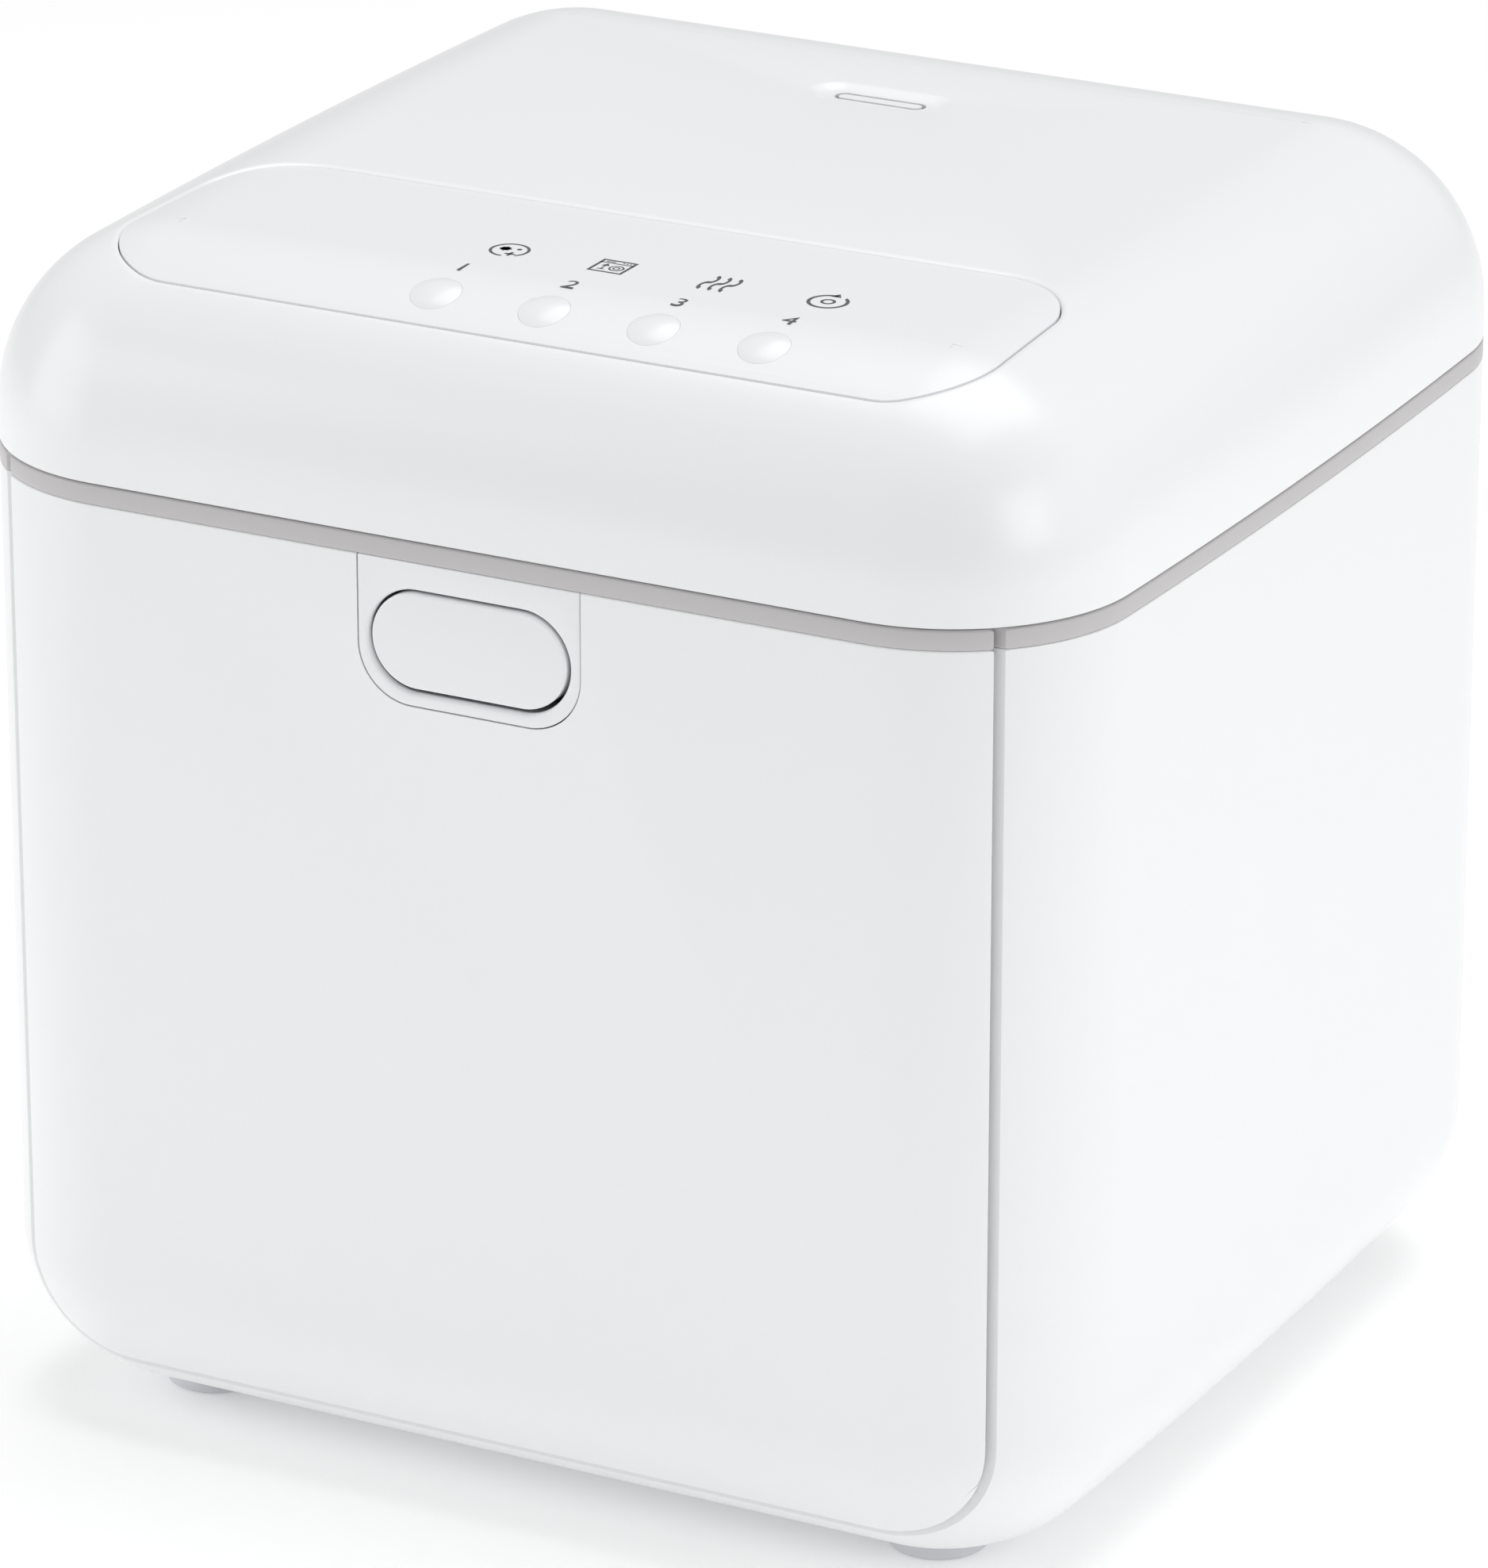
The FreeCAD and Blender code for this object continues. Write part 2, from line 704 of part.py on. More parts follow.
def ptc_heater():
    """Thin fins across the air's way, in a frame."""
    y = mid_y + blower_y + nozzle_reach + 3
    half = duct_width / 2 - duct_wall - fit
    low = duct_low + duct_wall
    high = duct_high - duct_wall - fit
    frame = block(-half, half, y, y + heater_depth, low, high)
    frame = frame.cut(block(-half + heater_frame, half - heater_frame, y - 1, y + heater_depth + 1,
                            low + heater_frame, high - heater_frame))
    pieces = [frame]
    for k in range(heater_fins):
        x = (k - (heater_fins - 1) / 2) * 2 * half / (heater_fins + 1)
        pieces.append(block(x - heater_fin / 2, x + heater_fin / 2, y + 1, y + heater_depth - 1,
                            low + 1, high - 1))
    return fused(pieces)


def power_board():
    """The board with its transformer, choke and relay, on four stands."""
    y = mid_y + pcb_y
    board_top = pcb_z + board_thickness
    pieces = [block(-pcb_half_width, pcb_half_width, y - pcb_half_depth, y + pcb_half_depth,
                    pcb_z, board_top)]
    mounted = [
        (transformer_x, 0, transformer_side, transformer_side, transformer_height),
        (choke_x, choke_y, choke_side, choke_side, choke_side),
        (relay_x, relay_y, relay_length, relay_width, relay_height),
    ]
    for x, offset, breadth, reach, height in mounted:
        near = y + offset - reach / 2
        pieces.append(block(x - breadth / 2, x + breadth / 2, near, near + reach,
                            board_top, board_top + height))
    half = pcb_stand / 2
    for sx in (-1, 1):
        for sy in (-1, 1):
            stand_x = sx * (pcb_half_width - pcb_stand_inset)
            stand_y = y + sy * (pcb_half_depth - pcb_stand_inset)
            pieces.append(block(stand_x - half, stand_x + half, stand_y - half, stand_y + half,
                                z_shell + shell_wall, pcb_z))
    return fused(pieces)


def power_inlet():
    """A two-pin inlet for a lead that plugs in."""
    half_x = inlet_half_width - fit
    half_z = inlet_half_height - fit
    face_y = back_y + inlet_flange
    body = block(inlet_x - half_x, inlet_x + half_x, back_y - inlet_depth, face_y,
                 inlet_z - half_z, inlet_z + half_z)
    flange = block(inlet_x - half_x - inlet_lip, inlet_x + half_x + inlet_lip, back_y, face_y,
                   inlet_z - half_z - inlet_lip, inlet_z + half_z + inlet_lip)
    mouth = stadium(inlet_x, inlet_z, socket_length, socket_height, face_y - socket_depth)
    socket = Part.Face(mouth).extrude(V(0, socket_depth + 1, 0))
    return fused([body, flange]).cut(socket)


def inlet_pins():
    low_y = back_y + inlet_flange - socket_depth
    places = [inlet_x + s * contact_pitch / 2 for s in (-1, 1)]
    return Part.makeCompound([rod(contact_radius, V(x, low_y, inlet_z), V(x, low_y + contact_length, inlet_z))
                              for x in places])


def lid_sensor():
    """A magnetic switch under the deck that tells whether the lid is shut."""
    y = front_y + latch_setback
    return block(sensor_x - sensor_width / 2, sensor_x + sensor_width / 2,
                 y - sensor_depth / 2, y + sensor_depth / 2, z_frame - sensor_height, z_frame)


# ---- hinge ----------------------------------------------------------------------------------------
def hinge_bracket():
    """A plate on the casing's back with two ears that hold the pin."""
    inner = knuckle_width / 2 + fit
    outer = inner + ear_width
    plate_top = axis_z - hinge_radius - 0.5
    plate_low = plate_top - hinge_plate_height
    bracket = block(-outer, outer, back_y, back_y + hinge_leaf, plate_low, plate_top)
    for start in (-outer, inner):
        outline = [V(start, back_y, plate_low), V(start, back_y + hinge_leaf, plate_low),
                   V(start, axis_y + hinge_radius, axis_z), V(start, back_y, axis_z)]
        web = Part.Face(Part.makePolygon(outline + [outline[0]])).extrude(V(ear_width, 0, 0))
        eye = rod(hinge_radius, V(start, axis_y, axis_z), V(start + ear_width, axis_y, axis_z))
        bracket = bracket.fuse([web, eye])
    bore = rod(hinge_pin_radius, V(-2 * outer, axis_y, axis_z), V(2 * outer, axis_y, axis_z))
    return bracket.removeSplitter().cut(bore)


def hinge_pin():
    reach = knuckle_width / 2 + fit + ear_width
    return rod(hinge_pin_radius, V(-reach, axis_y, axis_z), V(reach, axis_y, axis_z))


def hinge_arm():
    """The lid's half of the hinge: a knuckle round the pin and a leaf on the lid's back."""
    half = knuckle_width / 2
    knuckle = rod(hinge_radius, V(-half, axis_y, axis_z), V(half, axis_y, axis_z))
    leaf = block(-half, half, back_y, back_y + hinge_leaf, z_lid, z_lid + arm_height)
    bore = rod(hinge_pin_radius + pin_clearance, V(-width, axis_y, axis_z), V(width, axis_y, axis_z))
    return fused([knuckle, leaf]).cut(bore)


# ---- lid ------------------------------------------------------------------------------------------
def panel_block(grow):
    """An upright block of the control panel's plan outline, wider at the front than behind."""
    low = shoulder_z
    near = front_y + panel_setback - grow
    far = front_y + panel_setback + panel_length + grow
    wide = panel_half_front + grow
    slim = panel_half_rear + grow
    outline = [V(-wide, near, low), V(wide, near, low), V(slim, far, low), V(-slim, far, low)]
    tall = prism(Part.makePolygon(outline + [outline[0]]), 2 * lid_height)
    corners = [e for e in tall.Edges if e.BoundBox.ZLength > lid_height]
    return tall.makeFillet(panel_corner + grow, corners).Solids[0]


def mode_places():
    return [mode_centre + (k - (mode_count - 1) / 2) * mode_pitch for k in range(mode_count)]


def mode_tilt():
    """Lean of the lid's shoulder where the mode buttons are, in radians."""
    return math.asin((corner_radius - mode_setback) / corner_radius)


def on_mode_axis(x, height, along=0.0):
    """A point over the panel's surface at a mode button; along runs down the slope towards the rear."""
    lean = mode_tilt()
    reach = corner_radius - panel_recess + height
    return V(x, shoulder_y - math.sin(lean) * reach + math.cos(lean) * along,
             shoulder_z + math.cos(lean) * reach + math.sin(lean) * along)


def tilted(shape, x):
    """Stands a shape that was made upright at the origin on a mode button's place."""
    shape.rotate(V(0, 0, 0), V(1, 0, 0), math.degrees(mode_tilt()))
    shape.translate(on_mode_axis(x, 0))
    return shape


def board_top():
    stem_end = mode_flange_drop + mode_flange + mode_stem
    return -(stem_end + mode_travel + 0.1 + switch_height)


def lid_vent():
    """What the vent takes out of the lid: a dish, and in its floor a slot that loops round a tongue."""
    y = front_y + vent_setback
    dish = prism(flat_stadium(0, y, vent_length, vent_width, z_top - vent_dish), corner_radius)
    slot = prism(flat_stadium(0, y, vent_slot_length, vent_slot_width, z_top - corner_radius), corner_radius)
    tongue = block(-vent_slot_length, vent_slot_length / 2 - vent_slot_width / 2,
                   y - vent_bar_width / 2, y + vent_bar_width / 2, shoulder_z, z_top)
    return dish.fuse(slot.cut(tongue))


def lid_cover():
    cover = lid_form(0, 0).cut(lid_core(lid_wall, z_lid - 1))
    pocket = panel_block(0).cut(lid_form(panel_recess + panel_thickness, 1))
    return cover.cut(pocket).cut(panel_block(-panel_ledge)).cut(lid_vent())


def control_panel():
    skin = lid_form(panel_recess, 1).cut(lid_form(panel_recess + panel_thickness, 2))
    panel = skin.common(panel_block(-panel_gap))
    for x in mode_places():
        panel = panel.cut(rod(mode_radius + mode_gap, on_mode_axis(x, -10), on_mode_axis(x, 10)))
    reach = (mode_count - 1) * mode_pitch / 2 + board_margin - 4
    for side in (-1, 1):
        half = board_post / 2
        post = block(-half, half, -half, half, board_top(), -panel_thickness / 2)
        panel = panel.fuse(tilted(post, mode_centre + side * reach))
    return panel.removeSplitter()


def mode_button(x):
    """A round cap with a square flange under the panel and a square stem."""
    low = -mode_flange_drop - mode_flange / 2
    cap = rod(mode_radius, V(0, 0, low), V(0, 0, mode_rise))
    half = mode_radius + mode_flange_reach
    flange = block(-half, half, -half, half, -mode_flange_drop - mode_flange, -mode_flange_drop)
    stem_half = mode_stem_width / 2
    stem_end = -mode_flange_drop - mode_flange - mode_stem
    stem = block(-stem_half, stem_half, -stem_half, stem_half, stem_end, low)
    return tilted(fused([cap, flange, stem]), x)


def control_board():
    half = (mode_count - 1) * mode_pitch / 2 + board_margin
    top = board_top()
    pieces = [block(-half, half, -board_width / 2, board_width / 2, top - board_thickness, top)]
    for x in mode_places():
        u = x - mode_centre
        s = switch_size / 2
        pieces.append(block(u - s, u + s, -s, s, top - 0.5, top + switch_height))
    return tilted(fused(pieces), mode_centre)


def lid_liner():
    """Closes the lid from below: a flange inside the lid's wall and a shallow plug that enters the tub."""
    flange = prism(facet_wire(lid_wall, z_liner), liner_thickness)
    plug = tub_block(-plug_gap, z_plug, z_liner + 1)
    liner = fused([flange, plug])
    liner = liner.cut(tub_block(-plug_gap - liner_thickness, z_plug + liner_thickness, z_top))
    hole = centred_block(window_half_length - window_ledge, window_half_width - window_ledge,
                         window_corner - window_ledge / 2, z_plug - 1, z_top)
    half = latch_half_width + 4
    slot = block(-half, half, front_y, latch_y + latch_thickness + latch_swing, z_plug, z_top)
    return liner.cut(hole).cut(slot)


def lid_seal():
    middle = tub_rim / 2
    low = z_deck + fit
    outer = tub_block(middle + seal_width / 2, low, z_liner)
    return outer.cut(tub_block(middle - seal_width / 2, low - 1, z_liner + 1))


def lamp_window():
    z = z_plug + liner_thickness
    return centred_block(window_half_length, window_half_width, window_corner, z, z + window_thickness)


def uv_lamps():
    lamps = []
    for side in (-1, 1):
        y = mid_y + side * lamp_pitch / 2
        lamps.append(rod(lamp_radius, V(-lamp_length / 2, y, lamp_z), V(lamp_length / 2, y, lamp_z)))
    return Part.makeCompound(lamps)


def lamp_sockets():
    """A holder at each end of each lamp, standing on the window."""
    base = z_plug + liner_thickness + window_thickness
    reach = lamp_radius + socket_wall
    holders = []
    for side in (-1, 1):
        for end in (-1, 1):
            y = mid_y + side * lamp_pitch / 2
            near = end * lamp_length / 2
            far = near + end * socket_depth_lamp
            holders.append(block(min(near, far), max(near, far), y - reach, y + reach, base, lamp_z + reach))
    return Part.makeCompound(holders)


def lamp_reflector():
    foot_z = z_plug + liner_thickness
    wide = window_half_width + 1 + reflector_flare
    slim = window_half_width + 1
    path = [(mid_y - wide, foot_z), (mid_y - slim, foot_z + reflector_height),
            (mid_y + slim, foot_z + reflector_height), (mid_y + wide, foot_z)]
    return bent_strip(path, reflector_wall, -window_half_length, window_half_length)


def striker():
    """An angle behind the lid's front wall; the latch hooks over its level leg."""
    wall_y = front_y + lid_wall
    path = [(latch_y - 0.5, z_liner), (wall_y, z_liner), (wall_y, z_liner + striker_height)]
    path = path[::-1]
    return bent_strip(path, striker_thickness, -latch_half_width - 2, latch_half_width + 2)


def lid_magnet():
    y = front_y + latch_setback
    z = z_liner + liner_thickness
    half = magnet_width / 2
    return block(sensor_x - half, sensor_x + half, y - half, y + half, z, z + magnet_height)


# ---- basket ---------------------------------------------------------------------------------------
def basket():
    """A moulded drainer with slots in its walls and floor and a thick rim."""
    inset = tub_wall + basket_gap
    z_low = tub_floor_z + tub_wall
    z_high = z_low + basket_height

    rim = tub_block(-inset + basket_rim - basket_wall, z_high - basket_rim_height, z_high)
    body = fused([tub_block(-inset, z_low, z_high), rim])
    body = body.cut(tub_block(-inset - basket_wall, z_low + basket_wall, z_high + 1))
    half = basket_slot / 2
    low = z_low + slot_low
    high = z_low + slot_high
    for k in range(long_side_slots):
        x = (k - (long_side_slots - 1) / 2) * slot_pitch
        body = body.cut(block(x - half, x + half, tub_front, tub_rear, low, high))
    for k in range(short_side_slots):
        y = mid_y + (k - (short_side_slots - 1) / 2) * slot_pitch
        body = body.cut(block(-half_w, half_w, y - half, y + half, low, high))
    for k in range(floor_slots):
        x = (k - (floor_slots - 1) / 2) * floor_slot_pitch
        body = body.cut(block(x - half, x + half, mid_y - floor_slot_half, mid_y + floor_slot_half,
                              z_low - 1, z_low + basket_wall + 1))
    return body


def chopstick_tray():
    """A long narrow trough that stands along the basket's front."""
    z = tub_floor_z + tub_wall + basket_wall
    near = tub_front + tub_wall + basket_gap + basket_wall + tray_clear
    far = near + tray_width
    tray = prism(rounded_rectangle(tray_half_length, near, far, tray_corner, z), tray_height)
    tray = tray.cut(prism(rounded_rectangle(tray_half_length - tray_wall, near + tray_wall, far - tray_wall,
                                            tray_corner - tray_wall, z + tray_wall), tray_height))
    for k in range(tray_slots):
        x = (k - (tray_slots - 1) / 2) * tray_slot_pitch
        tray = tray.cut(block(x - basket_slot / 2, x + basket_slot / 2, near + tray_corner, far - tray_corner,
                              z - 1, z + tray_wall + 1))
    return tray


# ---- every piece, one file each -------------------------------------------------------------------
pieces = {
    "body_shell": body_shell(),
    "front_panel": front_panel(),
    "trim_ring": trim_ring(),
    "release_bezel": release_bezel(),
    "release_button": release_button(),
    "latch_spring": latch_spring(),
    "top_frame": top_frame(),
    "inner_tub": inner_tub(),
    "base_cover": base_cover(),
    "feet": feet(),
    "hinge_bracket": hinge_bracket(),
    "hinge_pin": hinge_pin(),
    "hinge_arm": hinge_arm(),
    "blower_housing": blower_housing(),
    "blower_motor": blower_motor(),
    "blower_impeller": blower_impeller(),
    "air_duct": air_duct(),
    "ptc_heater": ptc_heater(),
    "power_board": power_board(),
    "power_inlet": power_inlet(),
    "inlet_pins": inlet_pins(),
    "lid_sensor": lid_sensor(),
    "lid_cover": lid_cover(),
    "control_panel": control_panel(),
    "control_board": control_board(),
    "lid_liner": lid_liner(),
    "lid_seal": lid_seal(),
    "lamp_window": lamp_window(),
    "uv_lamps": uv_lamps(),
    "lamp_sockets": lamp_sockets(),
    "lamp_reflector": lamp_reflector(),
    "striker": striker(),
    "lid_magnet": lid_magnet(),
    "basket": basket(),
    "chopstick_tray": chopstick_tray(),
}
for k, x in enumerate(mode_places()):
    pieces["mode_button_%d" % (k + 1)] = mode_button(x)

os.makedirs("parts", exist_ok=True)
for name, shape in pieces.items():
    shape.exportStep("parts/%s.step" % name)
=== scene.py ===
"""Looks of a countertop steriliser box for chopsticks and tableware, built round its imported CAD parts."""

import json
import math

import bpy
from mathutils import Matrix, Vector

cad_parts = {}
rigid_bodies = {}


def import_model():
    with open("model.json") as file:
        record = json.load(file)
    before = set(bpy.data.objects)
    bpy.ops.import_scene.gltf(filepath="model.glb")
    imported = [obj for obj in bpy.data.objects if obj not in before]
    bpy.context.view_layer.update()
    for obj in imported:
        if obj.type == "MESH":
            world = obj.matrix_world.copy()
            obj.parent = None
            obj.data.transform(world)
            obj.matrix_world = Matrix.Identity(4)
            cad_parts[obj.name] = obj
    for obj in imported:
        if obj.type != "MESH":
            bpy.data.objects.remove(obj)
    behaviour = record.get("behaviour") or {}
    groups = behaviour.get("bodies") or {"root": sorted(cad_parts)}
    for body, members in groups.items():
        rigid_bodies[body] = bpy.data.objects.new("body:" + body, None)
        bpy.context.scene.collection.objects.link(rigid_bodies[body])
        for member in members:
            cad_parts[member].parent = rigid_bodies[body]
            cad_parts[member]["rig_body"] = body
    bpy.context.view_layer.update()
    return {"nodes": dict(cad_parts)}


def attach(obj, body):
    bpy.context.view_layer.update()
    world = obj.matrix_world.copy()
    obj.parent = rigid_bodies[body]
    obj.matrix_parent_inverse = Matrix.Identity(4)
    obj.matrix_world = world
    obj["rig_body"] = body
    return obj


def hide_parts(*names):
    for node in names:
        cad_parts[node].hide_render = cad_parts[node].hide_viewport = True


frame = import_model()

MM = 0.001
past = 2.0                   # a cutting shape reaches this far past what it cuts, in millimetres

# ---- sizes in millimetres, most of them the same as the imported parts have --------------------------
half_width = 150.0
front = -149.05
back = 136.95
middle = (front + back) / 2
corner = 46.0                # upright corners in plan, and the lid's shoulder
side_bow = 2600.0            # radius of the sides' slight bulge
bow_reach = 86.0             # the bulge ends this far from the middle of the depth
bow_step = 12.0              # spacing of the cuts that let a side bulge
bow_cuts = 7                 # of them to each side of the middle
end_lean = 1.15              # the sides' ends lean this much more than the last cut
corner_share = 0.963         # of a corner's radius, as the sides lean in there
base_round = 40.0
casing_wall = 2.6
cover_wall = 2.0
lid_wall = 3.0
ring_width = 6.0
casing_edge = 0.4            # rounding of the free edges
cover_edge = 0.5
ring_edge = 0.6
shell_bottom = 5.0
ring_bottom = 245.0
ring_top = 250.0
lid_bottom = 250.5
lid_top = 303.5
seam = front + 10.3          # the front cover ends here
groove_back = seam + 1.6     # and the casing starts here
groove_depth = 2.3
lap_front = 3.4              # the groove's floor reaches this far in under the cover's edge
lap_back = 4.0               # and this far in under the casing's
groove_floor_wall = 2.2

inlet_low = (-85.0, 54.0)    # the power inlet's hole in the back wall, X and Z
inlet_high = (-55.0, 74.0)
base_hole_half_x = 80.0
base_hole_half_y = 88.0
base_hole_corner = 16.0

panel_front = front + 21.2
panel_back = panel_front + 75.6
panel_half_front = 116.5
panel_half_back = 113.0
panel_corner = 23.0
panel_recess = 0.5
panel_gap = 0.25
panel_wall = 1.5
panel_roll = 2.2             # width of the lid's rolled edge round the control panel
panel_roll_drop = 1.3
mouth_depth = 8.0
mouth_low = 280.0            # the mouth's cutting block, before its rim follows the skin
mouth_high = 330.0
mouth_cuts = 39              # of each straight side, so that it can follow the skin

bezel_half = 29.5
bezel_low = ring_bottom - 35.6
bezel_corner = 14.0
bezel_wall = 3.2
bezel_gap = 0.3
bezel_edge = 0.35
rim_round = 1.0              # rounding of the button's hole
bezel_lip = 1.5              # depth of the hole's narrow part, with its rounded rim
sleeve_gap = 1.2             # how much wider the hole is behind the lip
sleeve_wall = 1.2
sleeve_start = 2.0
sleeve_end = 13.0
button_middle = ring_bottom - 19.6
button_half_length = 25.9
button_half_height = 11.9
button_gap = 0.9
button_proud = 0.2
button_rise = 0.25           # it sits a touch high in its hole
button_depth = 6.5
button_edge = 0.7

mode_radius = 6.2
mode_depth = 4.0
mode_rings = 12
mode_gap = 0.05
mode_reach = 6.0             # half length of the bars that cut the buttons' holes
mode_rise = 0.9              # of the domes over the panel
mode_places = (-25.2, 3.6, 32.4, 61.2)
mode_y = front + 31.0
mode_top = 300.99            # height of the lid's skin at the buttons
mode_lean = 19.03            # degrees
number_y = mode_y + 13.0
number_height = 5.4
icon_y = mode_y + 29.5
icon_half = 4.6
icon_line = 0.75
wave_squeeze = 0.44          # of the heat sign's half rings, sideways
ink_low = lid_top - panel_recess - 0.1
ink_high = ink_low + 0.13
number_ink = 0.05            # half the thickness of a printed number
font_size = 1.4              # of a digit's height

vent_y = front + 211.0
vent_half_length = 20.0
vent_half_width = 8.2
vent_dip = 1.2
slot_half_length = 12.5
slot_half_width = 2.75
tongue_half_width = 1.65
rib_places = (-6.0, 6.0)     # of the two ribs that hold the tongue
rib_half = 0.6
rib_drop = 2.5               # they start this far below the skin
foot_x = 101.0
foot_y = 97.0                # from the middle of the depth
foot_radius = 12.5
foot_ledge = 3.4             # height of the step round a foot
foot_neck = 2.6              # from the step up to the base
foot_edge = 1.1


# ---- finishes -------------------------------------------------------------------------------------
def colour(code):
    """Linear RGBA of an sRGB hex value."""
    parts = [int(code[k:k + 2], 16) / 255 for k in (1, 3, 5)]
    return [c / 12.92 if c <= 0.04045 else ((c + 0.055) / 1.055) ** 2.4 for c in parts] + [1.0]


def add(tree, kind, settings=None, links=None):
    """One node, with its settings and the sockets that feed it."""
    node = tree.nodes.new(kind)
    for name, value in (settings or {}).items():
        if name in node.inputs:
            node.inputs[name].default_value = value
        else:
            setattr(node, name, value)
    for name, source in (links or {}).items():
        tree.links.new(source, node.inputs[name])
    return node


def blank_finish(name):
    """A new material with an empty node tree."""
    finish = bpy.data.materials.new(name)
    finish.use_nodes = True
    finish.node_tree.nodes.clear()
    return finish, finish.node_tree


def moulded(name, light, dark, roughness, ior, grain_mm, grain_depth_mm, spread=0.03):
    """Moulded plastic: a colour that drifts a little over the part, and the mould's fine grain."""
    finish, tree = blank_finish(name)
    place = add(tree, "ShaderNodeTexCoord").outputs["Object"]
    drift = add(tree, "ShaderNodeTexNoise", {"Scale": 9.0, "Detail": 2.0}, {"Vector": place})
    tone = add(tree, "ShaderNodeMix", {"data_type": "RGBA"}, {"Factor": drift.outputs["Fac"]})
    tone_out = [s for s in tone.outputs if s.type == "RGBA"][0]
    for socket, code in zip([s for s in tone.inputs if s.type == "RGBA"], (light, dark)):
        socket.default_value = colour(code)
    grain = add(tree, "ShaderNodeTexNoise", {"Scale": 1 / (grain_mm * MM), "Detail": 2.0},
                {"Vector": place})
    rough = add(tree, "ShaderNodeMapRange", {"To Min": roughness - spread, "To Max": roughness + spread},
                {"Value": grain.outputs["Fac"]})
    bump = add(tree, "ShaderNodeBump", {"Strength": 0.5, "Distance": grain_depth_mm * MM},
               {"Height": grain.outputs["Fac"]})
    shader = add(tree, "ShaderNodeBsdfPrincipled", {"IOR": ior},
                 {"Base Color": tone_out, "Roughness": rough.outputs["Result"],
                  "Normal": bump.outputs["Normal"]})
    add(tree, "ShaderNodeOutputMaterial", {}, {"Surface": shader.outputs["BSDF"]})
    return finish


def brushed_metal(name, light, dark, roughness, line_mm, along):
    """Sheet metal with fine lines along one axis, from rolling or brushing."""
    finish, tree = blank_finish(name)
    place = add(tree, "ShaderNodeTexCoord").outputs["Object"]
    stretch = [1.0, 1.0, 1.0]
    stretch[along] = 0.02
    run = add(tree, "ShaderNodeMapping", {"Scale": stretch}, {"Vector": place})
    lines = add(tree, "ShaderNodeTexNoise", {"Scale": 1 / (line_mm * MM), "Detail": 3.0},
                {"Vector": run.outputs["Vector"]})
    tone = add(tree, "ShaderNodeMix", {"data_type": "RGBA"}, {"Factor": lines.outputs["Fac"]})
    for socket, code in zip([s for s in tone.inputs if s.type == "RGBA"], (light, dark)):
        socket.default_value = colour(code)
    tone_out = [s for s in tone.outputs if s.type == "RGBA"][0]
    rough = add(tree, "ShaderNodeMapRange", {"To Min": roughness - 0.06, "To Max": roughness + 0.06},
                {"Value": lines.outputs["Fac"]})
    bump = add(tree, "ShaderNodeBump", {"Strength": 0.3, "Distance": 0.01 * MM},
               {"Height": lines.outputs["Fac"]})
    shader = add(tree, "ShaderNodeBsdfPrincipled", {"Metallic": 1.0},
                 {"Base Color": tone_out, "Roughness": rough.outputs["Result"],
                  "Normal": bump.outputs["Normal"]})
    add(tree, "ShaderNodeOutputMaterial", {}, {"Surface": shader.outputs["BSDF"]})
    return finish


def clear_glass(name, tint, roughness):
    """Clear glass, a little uneven where it was drawn."""
    finish, tree = blank_finish(name)
    place = add(tree, "ShaderNodeTexCoord").outputs["Object"]
    ripple = add(tree, "ShaderNodeTexNoise", {"Scale": 40.0}, {"Vector": place})
    rough = add(tree, "ShaderNodeMapRange", {"To Min": roughness, "To Max": roughness + 0.04},
                {"Value": ripple.outputs["Fac"]})
    shader = add(tree, "ShaderNodeBsdfPrincipled",
                 {"Base Color": colour(tint), "IOR": 1.46, "Transmission Weight": 0.9},
                 {"Roughness": rough.outputs["Result"]})
    add(tree, "ShaderNodeOutputMaterial", {}, {"Surface": shader.outputs["BSDF"]})
    return finish


# High-gloss ABS out of a polished mould: near white, soft-edged reflections, no visible grain.
white_abs = moulded("white_abs_gloss", "#F4F5F6", "#F3F4F5", 0.28, 1.53, 1.2, 0.0003, 0.004)
# The same plastic with a finer matt, slightly greyer: control panel and bezel.
panel_abs = moulded("grey_white_abs_satin", "#F1F2F4", "#F0F1F3", 0.36, 1.53, 0.8, 0.0004, 0.006)
# Moulded button caps, a touch glossier than the panel they stand in.
button_abs = moulded("button_abs_gloss", "#F1F2F4", "#F0F1F3", 0.26, 1.53, 0.8, 0.0003, 0.004)
# The set-back lip between casing and cover, left matt by the mould. Its grey is painted shade for the
# narrow, deep groove; the real rebate is the casing's own white plastic.
groove_shade_abs = moulded("grey_abs_matt_painted_groove_shade", "#D5D8DC", "#D0D3D8", 0.5, 1.53, 0.8, 0.01)
# Warm grey ABS trim, satin from a lightly etched mould.
trim_abs = moulded("warm_grey_abs_satin", "#C4C2C3", "#BFBDBE", 0.42, 1.53, 0.6, 0.01)
# Polypropylene inner mouldings: soft white with a waxy sheen.
inner_pp = moulded("white_polypropylene", "#E9EAEB", "#E3E4E6", 0.45, 1.49, 0.9, 0.02)
# Drainer basket and tray in grey polypropylene.
basket_pp = moulded("grey_polypropylene", "#B9BDC1", "#AEB2B7", 0.45, 1.49, 0.9, 0.03)
# Black glass-filled nylon: lamp sockets, lid sensor, power inlet, blower housing and wheel.
dark_nylon = moulded("black_nylon", "#26272A", "#1D1E20", 0.5, 1.53, 0.5, 0.03)
# Soft rubber feet: matt and dusty.
foot_rubber = moulded("grey_rubber", "#E0E2E5", "#D6D8DB", 0.62, 1.52, 0.7, 0.03)
# Silicone seal: translucent grey looks solid at this thickness.
seal_silicone = moulded("grey_silicone", "#C9CCD0", "#BEC1C6", 0.5, 1.43, 1.0, 0.01)
# Printed circuit board lacquer.
board_lacquer = moulded("green_board_lacquer", "#1F5A3A", "#174A2F", 0.35, 1.52, 0.7, 0.02)
# Screen-printed ink on the control panel.
panel_ink = moulded("grey_printing_ink", "#5E5C60", "#58565A", 0.5, 1.5, 0.3, 0.002)
